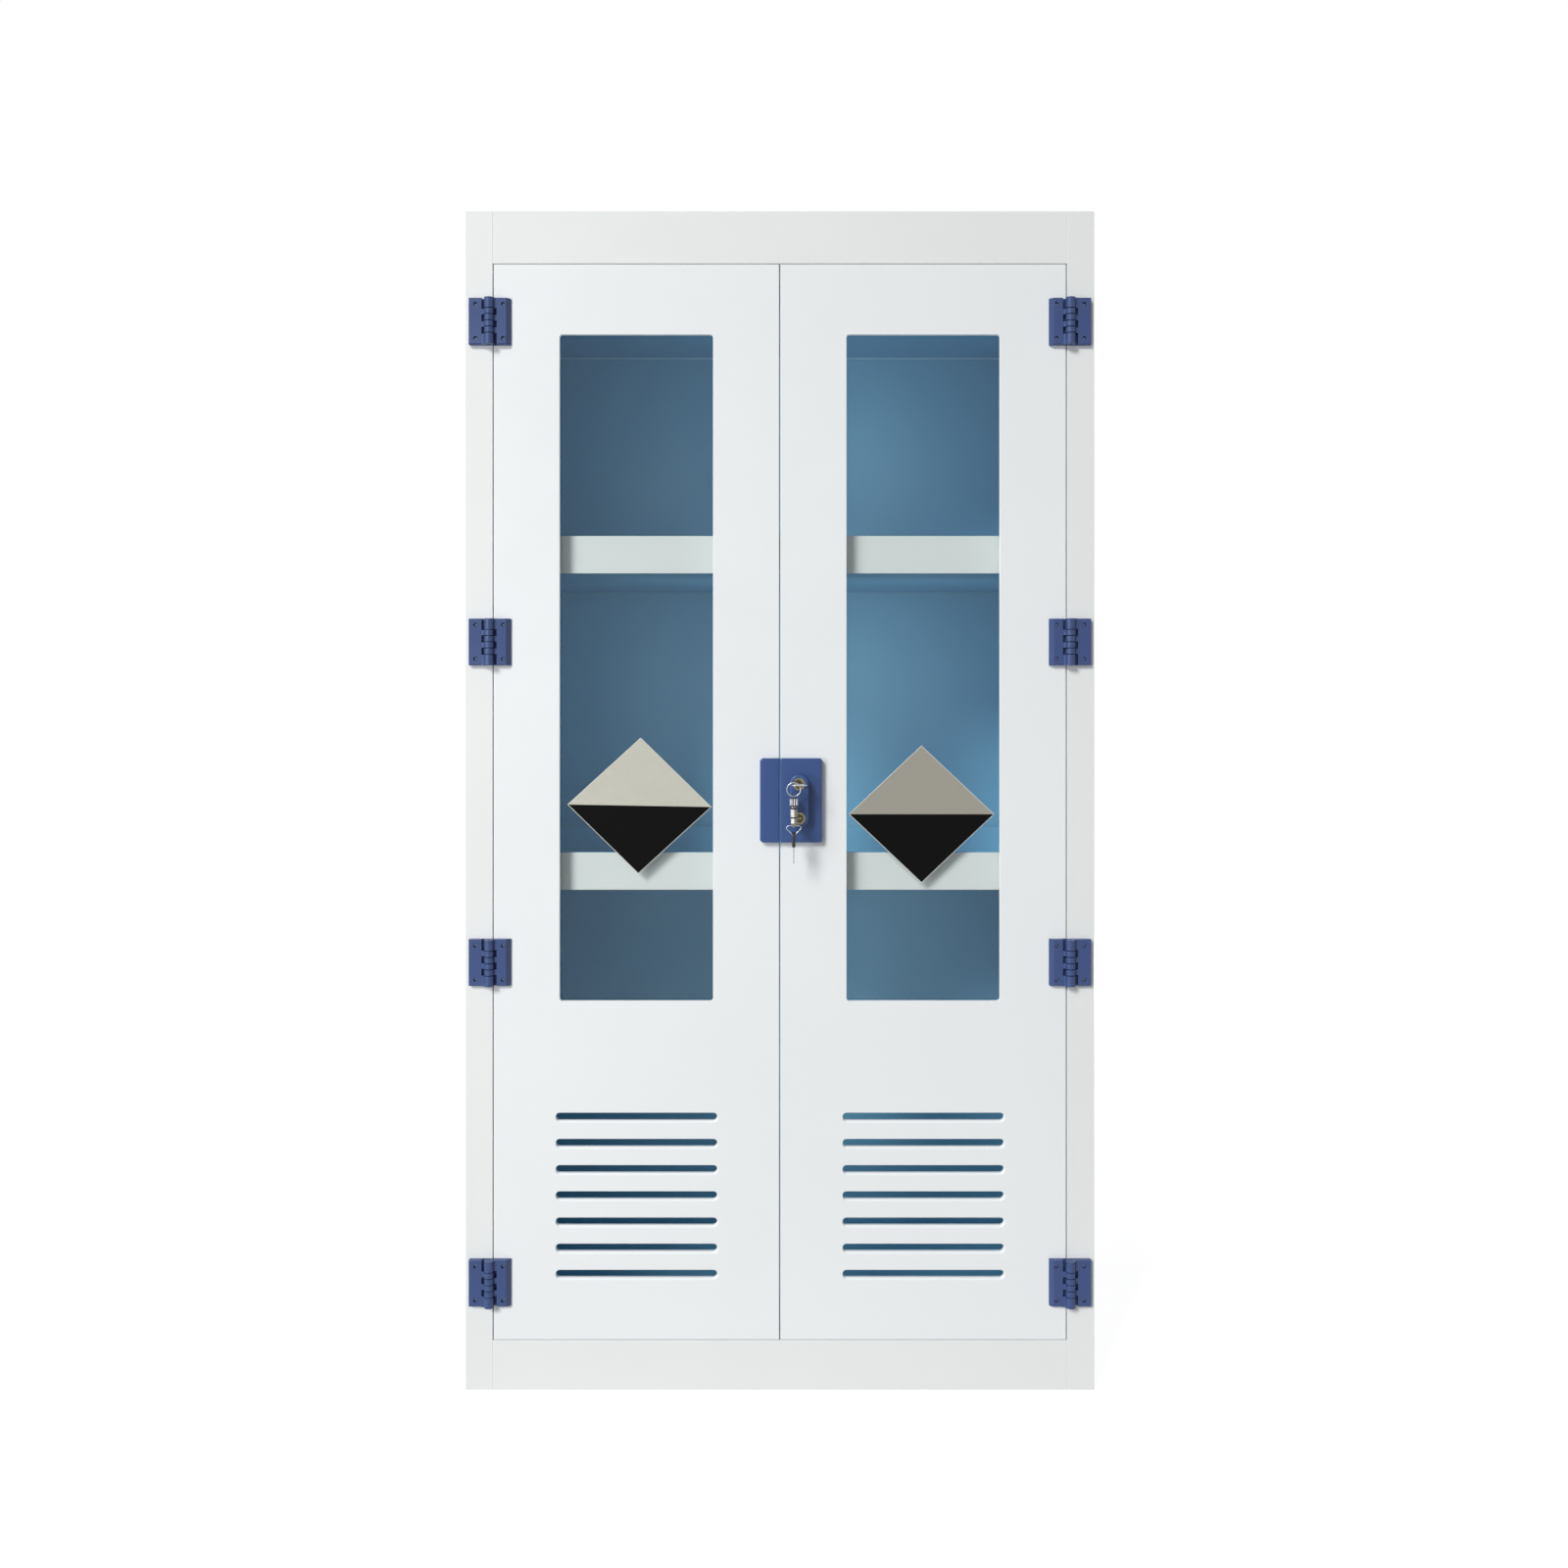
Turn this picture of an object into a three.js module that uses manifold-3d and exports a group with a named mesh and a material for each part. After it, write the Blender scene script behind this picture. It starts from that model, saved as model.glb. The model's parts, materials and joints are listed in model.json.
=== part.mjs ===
// A free-standing reagent cabinet of welded white plastic sheet. It has two glazed and louvred doors
// on eight blue plastic hinges, two lipped shelf trays inside, and a lock with two key cylinders.
// Millimetres, +Z up. The front faces -Y, and the origin is on the floor under the middle of the whole
// object, keys included. Inside the main group, Y is the distance behind the cabinet's front face.

import * as THREE from "three";
import { mergeVertices } from "three/addons/utils/BufferGeometryUtils.js";
import Module from "manifold-3d";

const wasm = await Module();
wasm.setup();

// Carcass
const BODY_WIDTH = 960;
const BODY_DEPTH = 450;
const BODY_HEIGHT = 1800;
const WALL = 8;
const POST_WIDTH = 41.5;
const TOP_RAIL_HEIGHT = 80;
const BOTTOM_RAIL_HEIGHT = 76;
const FLOOR_HEIGHT = 96;
const CEILING_DROP = 120;
const STOP_GAP = 0.5;

// Doors, flush between the posts and rails
const DOOR_SHEET = 8;
const DOOR_SIDE_GAP = 1.5;
const DOOR_END_GAP = 1;
const DOOR_MEETING_GAP = 2;

// Window in each door, and the glass and its retainer behind it
const WINDOW_STILE = 101;
const WINDOW_BELOW_DOOR_TOP = 107.5;
const WINDOW_ABOVE_DOOR_END = 517;
const WINDOW_CORNER = 4.5;
const GLASS_THICKNESS = 4;
const GLASS_LAP = 14;
const RETAINER_BAR = 26;
const RETAINER_SETBACK = 3;
const RETAINER_THICKNESS = 9;
const GLASS_CLEARANCE = 0.3;

// Louvre slots low in each door
const LOUVRE_COUNT = 7;
const LOUVRE_STILE = 95;
const LOUVRE_HEIGHT = 13.5;
const LOUVRE_PITCH = 40;
const LOUVRE_LOWEST = 99.5;

// Shelf trays and the bearers under them
const TRAY_SHEET = 6;
const TRAY_LIP = 58;
const TRAY_SETBACK = 26;
const TRAY_SIDE_GAP = 8;
const TRAY_BACK_GAP = 6;
const LOWER_TRAY_HEIGHT = 760;
const UPPER_TRAY_HEIGHT = 1249;
const BEARER_WIDTH = 20;
const BEARER_HEIGHT = 20;
const BEARER_END_INSET = 20;

// Diamond sign plates on the glass
const SIGN_SIDE_GAP = 8;
const SIGN_TALL_SHARE = 0.945;
const SIGN_THICKNESS = 1.2;
const LEFT_SIGN_ASIDE = 4;
const LEFT_SIGN_ABOVE_WINDOW_END = 299;
const LEFT_SIGN_TURN_DEGREES = -1;
const RIGHT_SIGN_ASIDE = -2;
const RIGHT_SIGN_ABOVE_WINDOW_END = 286;
const RIGHT_SIGN_TURN_DEGREES = 0;

// Hinges, all alike: the right-hand leaf carries the top knuckle
const HINGE_COUNT = 4;
const HINGE_SPREAD = 63;
const HINGE_HEIGHT = 71;
const HINGE_LEAF = 9;
const HINGE_AXIS_OUT = 9.5;
const HINGE_AXIS_PAST_POST_EDGE = 3.5;
const HINGE_FROM_DOOR_END = 89;
const BARREL_RADIUS = 7.5;
const LEAF_TO_BARREL_GAP = 3;
const DOOR_LEAF_BEVEL = 6;
const FRAME_LEAF_BEVEL = 1;
const LEAF_END_BEVEL = 1.5;
const KNUCKLE_COUNT = 6;
const END_KNUCKLE = 16;
const KNUCKLE_GAP = 0.4;
const PIN_RADIUS = 2.5;
const PIN_CLEARANCE = 0.3;
const SCREW_RECESS_RADIUS = 3.2;
const SCREW_RECESS_DEPTH = 3;
const SCREW_ACROSS = 42;
const SCREW_UP = 52;

// Lock plate on the right door and keeper on the left door
const LOCK_HEIGHT = 128;
const LOCK_THICKNESS = 12;
const LOCK_CENTRE_HEIGHT = 901;
const LOCK_MEETING_GAP = 0.6;
const KEEPER_WIDTH = 30;
const KEEPER_CHAMFER = 3.5;
const PLATE_WIDTH = 63.7;
const PLATE_CORNER = 4;
const LOCK_EDGE_BEVEL = 2.5;
const BOSS_WIDTH = 29;
const BOSS_PROUD = 18;
const BOSS_BEVEL = 1.5;
const BOSS_FROM_PLATE_EDGE = 28.7;
const BOSS_RAISE = 0.2;

// Lock cylinders, one above the other, with their turning plugs and cams
const CYLINDER_SPACING = 51.6;
const CYLINDER_RADIUS = 8;
const CYLINDER_FLANGE_RADIUS = 9.3;
const CYLINDER_FLANGE = 1.6;
const CYLINDER_PAST_DOOR = 2.3;
const CYLINDER_CLEARANCE = 0.3;
const PLUG_RADIUS = 5.8;
const PLUG_SPIGOT_RADIUS = 3;
const RUNNING_GAP = 0.3;
const CAM_GAP = 0.5;
const CAM_THICKNESS = 2.5;
const CAM_REACH = 44.5;
const CAM_WIDTH = 14;

// Key in the upper cylinder
const KEY_THICKNESS = 1.8;
const KEY_BLADE_WIDTH = 7.6;
const KEY_BLADE_LENGTH = 22;
const KEY_NECK = 3.5;
const BOW_WIDTH = 24;
const BOW_LENGTH = 25;
const BOW_BAR = 3.4;
const BOW_CORNER = 6;

// Ring, connector and spare key that hang from it
const RING_RADIUS = 10.2;
const RING_WIRE_RADIUS = 0.8;
const RING_DROP = 6.7;
const RING_DRIFT = 2;
const EYE_RADIUS = 3.6;
const EYE_BORE_RADIUS = 2;
const EYE_THICKNESS = 2;
const DRUM_RADIUS = 6.5;
const DRUM_LENGTH = 11;
const COLLAR_RADIUS = 5.3;
const COLLAR_LENGTH = 6;
const SLEEVE_RADIUS = 5.2;
const SLEEVE_LENGTH = 12.5;
const NECK_RADIUS = 3.4;
const NECK_LENGTH = 1.5;
const TAIL_RADIUS = 4.3;
const TAIL_TIP_RADIUS = 3.2;
const TAIL_LENGTH = 12;
const LOOP_WIDTH = 22.4;
const LOOP_HEIGHT = 14.5;
const LOOP_WIRE_RADIUS = 0.65;
const LOOP_BAR_ABOVE_TAIL_TIP = 2.5;
const SPARE_HEAD_THICKNESS = 5;
const SPARE_HEAD_WIDTH = 20;
const SPARE_HEAD_LENGTH = 22;
const SPARE_HEAD_CORNER = 5;
const SPARE_HOLE_RADIUS = 2;
const SPARE_BLADE_THICKNESS = 2;
const SPARE_BLADE_WIDTH = 7.6;
const SPARE_BLADE_LENGTH = 24.5;
const SPARE_TIP = 3;

// Working values for cuts and round stretches
const OVERRUN = 2;
const MERGE_DISTANCE = 0.001;
const CORNER_STEPS = 3;
const SLOT_STEPS = 3;
const BARREL_SIDES = 12;
const BORE_SIDES = 8;
const RECESS_SIDES = 6;
const LOCK_SIDES = 20;
const RING_SIDES = 6;
const RING_STEPS = 28;
const WIRE_SIDES = 6;
const WIRE_STEPS = 28;

// Sizes and places that follow from the ones above
const HALF_WIDTH = BODY_WIDTH / 2;
const POST_EDGE = HALF_WIDTH - POST_WIDTH;
const INSIDE_HALF_WIDTH = HALF_WIDTH - WALL;
const INSIDE_BACK = BODY_DEPTH - WALL;
const DOOR_BOTTOM = BOTTOM_RAIL_HEIGHT + DOOR_END_GAP;
const DOOR_TOP = BODY_HEIGHT - TOP_RAIL_HEIGHT - DOOR_END_GAP;
const DOOR_HEIGHT = DOOR_TOP - DOOR_BOTTOM;
const DOOR_INNER_EDGE = DOOR_MEETING_GAP / 2;
const DOOR_OUTER_EDGE = POST_EDGE - DOOR_SIDE_GAP;
const DOOR_WIDTH = DOOR_OUTER_EDGE - DOOR_INNER_EDGE;
const DOOR_CENTRE = (DOOR_OUTER_EDGE + DOOR_INNER_EDGE) / 2;
const WINDOW_WIDTH = DOOR_WIDTH - 2 * WINDOW_STILE;
const WINDOW_HEIGHT = DOOR_HEIGHT - WINDOW_ABOVE_DOOR_END - WINDOW_BELOW_DOOR_TOP;
const WINDOW_CENTRE = WINDOW_ABOVE_DOOR_END + WINDOW_HEIGHT / 2;
const LOUVRE_LENGTH = DOOR_WIDTH - 2 * LOUVRE_STILE;
const SIGN_WIDTH = WINDOW_WIDTH - 2 * SIGN_SIDE_GAP;
const SIGN_HEIGHT = SIGN_WIDTH * SIGN_TALL_SHARE;
const STOP_FRONT = DOOR_SHEET + STOP_GAP;
const HINGE_AXIS = POST_EDGE + HINGE_AXIS_PAST_POST_EDGE;
const LEAF_INNER_EDGE = BARREL_RADIUS + LEAF_TO_BARREL_GAP;
const LEAF_OUTER_EDGE = HINGE_SPREAD / 2;
const LEAF_FRONT = HINGE_AXIS_OUT - HINGE_LEAF;
const LOCK_EDGE = LOCK_MEETING_GAP / 2;
const BOSS_CENTRE = LOCK_EDGE + BOSS_FROM_PLATE_EDGE;
const BOSS_HEIGHT = CYLINDER_SPACING + BOSS_WIDTH;
const BOSS_FRONT = LOCK_THICKNESS + BOSS_PROUD;
const LOCK_FRONT = BOSS_FRONT + CYLINDER_FLANGE;
const CYLINDER_REAR = DOOR_SHEET + CYLINDER_PAST_DOOR;
const CAM_FRONT = CYLINDER_REAR + CAM_GAP;
const CAM_REAR = CAM_FRONT + CAM_THICKNESS;
const BOW_FRONT = LOCK_FRONT + KEY_NECK + BOW_LENGTH;
const RING_OUT = BOW_FRONT - BOW_LENGTH / 2;
const RING_PIVOT_ASIDE = (BOW_WIDTH - BOW_BAR) / 2;
const FACE_PLACE = (BOW_FRONT - BODY_DEPTH) / 2;
const SIGN_PLACES = {
  left: { aside: LEFT_SIGN_ASIDE, up: LEFT_SIGN_ABOVE_WINDOW_END, turn: LEFT_SIGN_TURN_DEGREES },
  right: { aside: RIGHT_SIGN_ASIDE, up: RIGHT_SIGN_ABOVE_WINDOW_END, turn: RIGHT_SIGN_TURN_DEGREES },
};

// Finishes
const bodyWhite = new THREE.MeshStandardMaterial({ color: "#ebeeed", roughness: 0.42 });
const doorWhite = new THREE.MeshStandardMaterial({ color: "#eef1f4", roughness: 0.4 });
const liningBlue = new THREE.MeshStandardMaterial({ color: "#7e9eb2", roughness: 0.5 });
const trayWhite = new THREE.MeshStandardMaterial({ color: "#e6ecec", roughness: 0.45 });
const hingeBlue = new THREE.MeshStandardMaterial({ color: "#53639a", roughness: 0.45 });
const lockBlue = new THREE.MeshStandardMaterial({ color: "#485f96", roughness: 0.45 });
const glassClear = new THREE.MeshStandardMaterial({
  color: "#d6e6ea", roughness: 0.05, transparent: true, opacity: 0.2,
});
const signGrey = new THREE.MeshStandardMaterial({ color: "#b9b8af", roughness: 0.35, metalness: 0.6 });
const lockMetal = new THREE.MeshStandardMaterial({ color: "#b5b3a9", roughness: 0.25, metalness: 1 });
const keySteel = new THREE.MeshStandardMaterial({ color: "#c9c9c6", roughness: 0.22, metalness: 1 });
const keyBlack = new THREE.MeshStandardMaterial({ color: "#15161a", roughness: 0.5 });

// Planes for outlines: across and up the outline, then the way its prism runs
const ACROSS = new THREE.Vector3(1, 0, 0);
const BACKWARD = new THREE.Vector3(0, 1, 0);
const FORWARD = new THREE.Vector3(0, -1, 0);
const UP = new THREE.Vector3(0, 0, 1);
const PLANES = {
  front: new THREE.Matrix4().makeBasis(ACROSS, UP, FORWARD),
  plan: new THREE.Matrix4().makeBasis(ACROSS, BACKWARD, UP),
  side: new THREE.Matrix4().makeBasis(BACKWARD, UP, ACROSS),
};

// Turns that stand a round piece, made along Y, on each axis
const STANDS = {
  x: new THREE.Matrix4().makeBasis(UP, ACROSS, BACKWARD),
  y: new THREE.Matrix4(),
  z: new THREE.Matrix4().makeBasis(BACKWARD, UP, ACROSS),
};

// A closed mesh as a solid that can be joined and cut
function toSolid(geometry) {
  const bare = geometry.clone();
  bare.deleteAttribute("normal");
  bare.deleteAttribute("uv");
  const merged = mergeVertices(bare, MERGE_DISTANCE);
  const vertProperties = new Float32Array(merged.attributes.position.array);
  const triVerts = new Uint32Array(merged.index.array);
  return new wasm.Manifold(new wasm.Mesh({ numProp: 3, vertProperties, triVerts }));
}

// A solid as a mesh geometry again
function toGeometry(solid) {
  const mesh = solid.getMesh();
  const geometry = new THREE.BufferGeometry();
  geometry.setAttribute("position", new THREE.BufferAttribute(new Float32Array(mesh.vertProperties), 3));
  geometry.setIndex(new THREE.BufferAttribute(new Uint32Array(mesh.triVerts), 1));
  geometry.computeVertexNormals();
  return geometry;
}

function join(...geometries) {
  return toGeometry(geometries.map(toSolid).reduce((whole, next) => whole.add(next)));
}

function cut(body, ...tools) {
  return toGeometry(tools.map(toSolid).reduce((rest, tool) => rest.subtract(tool), toSolid(body)));
}

function common(...geometries) {
  return toGeometry(geometries.map(toSolid).reduce((whole, next) => whole.intersect(next)));
}

// A box between two limits on each axis
function block([left, right], [front, rear], [low, high]) {
  const geometry = new THREE.BoxGeometry(right - left, rear - front, high - low);
  return geometry.translate((left + right) / 2, (front + rear) / 2, (low + high) / 2);
}

// A prism of an outline. On the front plane, start and depth are measured out of the front face.
function prism(plane, outline, start, depth, curveSegments = CORNER_STEPS) {
  const geometry = new THREE.ExtrudeGeometry(outline, { depth, bevelEnabled: false, curveSegments });
  return geometry.translate(0, 0, start).applyMatrix4(PLANES[plane]);
}

// A round bar along an axis
function rod(axis, radius, start, end, sides) {
  const geometry = new THREE.CylinderGeometry(radius, radius, end - start, sides);
  return geometry.translate(0, (start + end) / 2, 0).applyMatrix4(STANDS[axis]);
}

// An outline through points, given as pairs
function polygon(points) {
  return new THREE.Shape(points.map(([across, up]) => new THREE.Vector2(across, up)));
}

// A rectangle round a centre, with round corners
function roundedRectangle(width, height, radius, Outline = THREE.Shape) {
  const outline = new Outline();
  const right = width / 2 - radius;
  const top = height / 2 - radius;
  const quarter = Math.PI / 2;
  outline.absarc(right, top, radius, 0, quarter);
  outline.absarc(-right, top, radius, quarter, 2 * quarter);
  outline.absarc(-right, -top, radius, 2 * quarter, 3 * quarter);
  outline.absarc(right, -top, radius, 3 * quarter, 4 * quarter);
  outline.closePath();
  return outline;
}

// A rectangle between limits, with a cut corner at each end of one side
function chamferedPlate(width, height, chamfer) {
  return polygon([
    [0, -height / 2],
    [0, height / 2],
    [chamfer - width, height / 2],
    [-width, height / 2 - chamfer],
    [-width, chamfer - height / 2],
    [chamfer - width, -height / 2],
  ]);
}

// A named piece in a group
function add(group, name, geometry, material, place = [0, 0, 0]) {
  const mesh = new THREE.Mesh(geometry, material);
  mesh.name = name;
  mesh.position.set(...place);
  group.add(mesh);
  return mesh;
}

function placedGroup(parent, ...place) {
  const group = new THREE.Group();
  group.position.set(...place);
  parent.add(group);
  return group;
}

// Carcass

function addCarcass(cabinet) {
  const sideDepth = [WALL, BODY_DEPTH];
  const between = [-INSIDE_HALF_WIDTH, INSIDE_HALF_WIDTH];
  const betweenPosts = [-POST_EDGE, POST_EDGE];
  const fullHeight = [0, BODY_HEIGHT];
  const ceiling = BODY_HEIGHT - CEILING_DROP;
  const leftWall = block([-HALF_WIDTH, -INSIDE_HALF_WIDTH], sideDepth, fullHeight);
  const rightWall = block([INSIDE_HALF_WIDTH, HALF_WIDTH], sideDepth, fullHeight);
  add(cabinet, "left_side_panel", leftWall, bodyWhite);
  add(cabinet, "right_side_panel", rightWall, bodyWhite);
  add(cabinet, "left_front_post", block([-HALF_WIDTH, -POST_EDGE], [0, WALL], fullHeight), bodyWhite);
  add(cabinet, "right_front_post", block([POST_EDGE, HALF_WIDTH], [0, WALL], fullHeight), bodyWhite);
  const topRail = block(betweenPosts, [0, WALL], [BODY_HEIGHT - TOP_RAIL_HEIGHT, BODY_HEIGHT]);
  const bottomRail = block(betweenPosts, [0, WALL], [0, BOTTOM_RAIL_HEIGHT]);
  add(cabinet, "top_rail", topRail, bodyWhite);
  add(cabinet, "bottom_rail", bottomRail, bodyWhite);
  const topPanel = block(between, sideDepth, [BODY_HEIGHT - WALL, BODY_HEIGHT]);
  const backPanel = block(between, [INSIDE_BACK, BODY_DEPTH], [0, BODY_HEIGHT - WALL]);
  add(cabinet, "top_panel", topPanel, bodyWhite);
  add(cabinet, "back_panel", backPanel, liningBlue);
  const floor = block(between, [STOP_FRONT, INSIDE_BACK], [FLOOR_HEIGHT - WALL, FLOOR_HEIGHT]);
  const ceilingPanel = block(between, [STOP_FRONT, INSIDE_BACK], [ceiling, ceiling + WALL]);
  add(cabinet, "floor_panel", floor, liningBlue);
  add(cabinet, "ceiling_panel", ceilingPanel, liningBlue);
}

// Shelf trays with a lip all round, each on a bearer at either side

function trayGeometry() {
  const halfWidth = INSIDE_HALF_WIDTH - TRAY_SIDE_GAP;
  const rear = INSIDE_BACK - TRAY_BACK_GAP;
  const outside = block([-halfWidth, halfWidth], [TRAY_SETBACK, rear], [0, TRAY_LIP]);
  const insideHalfWidth = halfWidth - TRAY_SHEET;
  const inside = block(
    [-insideHalfWidth, insideHalfWidth],
    [TRAY_SETBACK + TRAY_SHEET, rear - TRAY_SHEET],
    [TRAY_SHEET, TRAY_LIP + OVERRUN],
  );
  return cut(outside, inside);
}

function addShelf(cabinet, prefix, height) {
  add(cabinet, `${prefix}_shelf_tray`, trayGeometry(), trayWhite, [0, 0, height]);
  const front = TRAY_SETBACK + BEARER_END_INSET;
  const rear = INSIDE_BACK - TRAY_BACK_GAP - BEARER_END_INSET;
  for (const [sideName, side] of [["left", -1], ["right", 1]]) {
    const bearer = block([-BEARER_WIDTH / 2, BEARER_WIDTH / 2], [front, rear], [-BEARER_HEIGHT, 0]);
    const centre = side * (INSIDE_HALF_WIDTH - BEARER_WIDTH / 2);
    add(cabinet, `${prefix}_bearer_${sideName}`, bearer, trayWhite, [centre, 0, height]);
  }
}

// Doors: panel, glass, retainer and sign, each round the door's own centre line and bottom edge

function windowOutline(growth, Outline = THREE.Shape) {
  return roundedRectangle(WINDOW_WIDTH + 2 * growth, WINDOW_HEIGHT + 2 * growth, WINDOW_CORNER, Outline);
}

function doorPanelGeometry(cylinderHoles) {
  const panel = block([-DOOR_WIDTH / 2, DOOR_WIDTH / 2], [0, DOOR_SHEET], [0, DOOR_HEIGHT]);
  const cutDepth = DOOR_SHEET + 2 * OVERRUN;
  const cutStart = -DOOR_SHEET - OVERRUN;
  const opening = prism("front", windowOutline(0), cutStart, cutDepth);
  opening.translate(0, 0, WINDOW_CENTRE);
  const slotOutline = roundedRectangle(LOUVRE_LENGTH, LOUVRE_HEIGHT, LOUVRE_HEIGHT / 2);
  const slots = [];
  for (let index = 0; index < LOUVRE_COUNT; index += 1) {
    const slot = prism("front", slotOutline, cutStart, cutDepth, SLOT_STEPS);
    slots.push(slot.translate(0, 0, LOUVRE_LOWEST + index * LOUVRE_PITCH));
  }
  return cut(panel, opening, ...slots, ...cylinderHoles);
}

// Holes for the two cylinders, in the right door's own frame
function cylinderHoles() {
  return cylinderHeights().map((height) => {
    const hole = rod("y", CYLINDER_RADIUS + CYLINDER_CLEARANCE, -OVERRUN, DOOR_SHEET + OVERRUN, LOCK_SIDES);
    return hole.translate(BOSS_CENTRE - DOOR_CENTRE, 0, height - DOOR_BOTTOM);
  });
}

function retainerGeometry() {
  const outer = windowOutline(RETAINER_BAR);
  outer.holes.push(windowOutline(RETAINER_SETBACK, THREE.Path));
  const frame = prism("front", outer, -DOOR_SHEET - RETAINER_THICKNESS, RETAINER_THICKNESS);
  const pocketGrowth = GLASS_LAP + GLASS_CLEARANCE;
  const pocketDepth = GLASS_THICKNESS + GLASS_CLEARANCE;
  const pocketOutline = windowOutline(pocketGrowth);
  const pocket = prism("front", pocketOutline, -DOOR_SHEET - pocketDepth, pocketDepth + OVERRUN);
  return cut(frame, pocket);
}

function addDoor(cabinet, sideName, side, holes) {
  const door = placedGroup(cabinet, side * DOOR_CENTRE, 0, DOOR_BOTTOM);
  const glass = prism("front", windowOutline(GLASS_LAP), -DOOR_SHEET - GLASS_THICKNESS, GLASS_THICKNESS);
  add(door, `${sideName}_door_panel`, doorPanelGeometry(holes), doorWhite);
  add(door, `${sideName}_window_glass`, glass, glassClear, [0, 0, WINDOW_CENTRE]);
  add(door, `${sideName}_glass_retainer`, retainerGeometry(), doorWhite, [0, 0, WINDOW_CENTRE]);
  const sign = SIGN_PLACES[sideName];
  const diamond = polygon([
    [SIGN_WIDTH / 2, 0],
    [0, SIGN_HEIGHT / 2],
    [-SIGN_WIDTH / 2, 0],
    [0, -SIGN_HEIGHT / 2],
  ]);
  const plate = prism("front", diamond, -DOOR_SHEET, SIGN_THICKNESS);
  const place = [sign.aside, 0, WINDOW_ABOVE_DOOR_END + sign.up];
  const mesh = add(door, `${sideName}_sign_plate`, plate, signGrey, place);
  mesh.rotation.y = -THREE.MathUtils.degToRad(sign.turn);
}

// Hinges, round their own pin: the leaves lie at either side, on the front face behind the pin

function leafPlate(sideBevel) {
  const outline = polygon([
    [LEAF_INNER_EDGE, LEAF_FRONT],
    [LEAF_OUTER_EDGE - sideBevel, LEAF_FRONT],
    [LEAF_OUTER_EDGE, LEAF_FRONT + sideBevel],
    [LEAF_OUTER_EDGE, HINGE_AXIS_OUT],
    [LEAF_INNER_EDGE, HINGE_AXIS_OUT],
  ]);
  const half = HINGE_HEIGHT / 2;
  const edge = polygon([
    [HINGE_AXIS_OUT, -half],
    [HINGE_AXIS_OUT, half],
    [LEAF_FRONT + LEAF_END_BEVEL, half],
    [LEAF_FRONT, half - LEAF_END_BEVEL],
    [LEAF_FRONT, LEAF_END_BEVEL - half],
    [LEAF_FRONT + LEAF_END_BEVEL, -half],
  ]);
  const column = prism("plan", outline, -half, HINGE_HEIGHT);
  return common(column, prism("side", edge, 0, LEAF_OUTER_EDGE));
}

// Height limits of one knuckle, counted from the top
function knuckleLimits(index) {
  const inner = (HINGE_HEIGHT - 2 * END_KNUCKLE - (KNUCKLE_COUNT - 1) * KNUCKLE_GAP) / (KNUCKLE_COUNT - 2);
  const top = HINGE_HEIGHT / 2;
  if (index === 0) {
    return [top - END_KNUCKLE, top];
  }
  const high = top - END_KNUCKLE - KNUCKLE_GAP - (index - 1) * (inner + KNUCKLE_GAP);
  const last = index === KNUCKLE_COUNT - 1;
  return [last ? -top : high - inner, high];
}

// A leaf to the right of the pin, with every second knuckle from the given one
function leafGeometry(firstKnuckle, sideBevel) {
  const parts = [leafPlate(sideBevel)];
  for (let index = firstKnuckle; index < KNUCKLE_COUNT; index += 2) {
    const [low, high] = knuckleLimits(index);
    parts.push(rod("z", BARREL_RADIUS, low, high, BARREL_SIDES));
    parts.push(block([0, LEAF_INNER_EDGE + OVERRUN], [LEAF_FRONT, BARREL_RADIUS], [low, high]));
  }
  const bore = rod("z", PIN_RADIUS + PIN_CLEARANCE, -HINGE_HEIGHT, HINGE_HEIGHT, BORE_SIDES);
  const recessEnd = LEAF_FRONT + SCREW_RECESS_DEPTH;
  const recesses = [-1, 1].map((end) => {
    const recess = rod("y", SCREW_RECESS_RADIUS, LEAF_FRONT - OVERRUN, recessEnd, RECESS_SIDES);
    return recess.translate(SCREW_ACROSS / 2, 0, (end * SCREW_UP) / 2);
  });
  return cut(join(...parts), bore, ...recesses);
}

function rightLeafGeometry(sideBevel) {
  return leafGeometry(0, sideBevel);
}

// A leaf to the left of the pin is a right one turned over, so its knuckles fill the gaps
function leftLeafGeometry(sideBevel) {
  const mirror = new THREE.Matrix4().makeScale(-1, 1, 1);
  const geometry = leafGeometry(1, sideBevel).applyMatrix4(mirror);
  const index = geometry.index.array;
  for (let corner = 0; corner < index.length; corner += 3) {
    [index[corner], index[corner + 1]] = [index[corner + 1], index[corner]];
  }
  return geometry;
}

function addHinges(cabinet) {
  const pin = rod("z", PIN_RADIUS, -HINGE_HEIGHT / 2, HINGE_HEIGHT / 2, BORE_SIDES);
  const lowest = DOOR_BOTTOM + HINGE_FROM_DOOR_END;
  const pitch = (DOOR_HEIGHT - 2 * HINGE_FROM_DOOR_END) / (HINGE_COUNT - 1);
  for (const [sideName, side] of [["left", -1], ["right", 1]]) {
    const frameLeaf = side < 0 ? leftLeafGeometry(FRAME_LEAF_BEVEL) : rightLeafGeometry(FRAME_LEAF_BEVEL);
    const doorLeaf = side < 0 ? rightLeafGeometry(DOOR_LEAF_BEVEL) : leftLeafGeometry(DOOR_LEAF_BEVEL);
    for (let index = 0; index < HINGE_COUNT; index += 1) {
      const hinge = placedGroup(cabinet, side * HINGE_AXIS, -HINGE_AXIS_OUT, lowest + index * pitch);
      const name = `${sideName}_hinge_${index + 1}`;
      add(hinge, `${name}_frame_leaf`, frameLeaf, hingeBlue);
      add(hinge, `${name}_door_leaf`, doorLeaf, hingeBlue);
      add(hinge, `${name}_pin`, pin, hingeBlue);
    }
  }
}

// Lock

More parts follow.
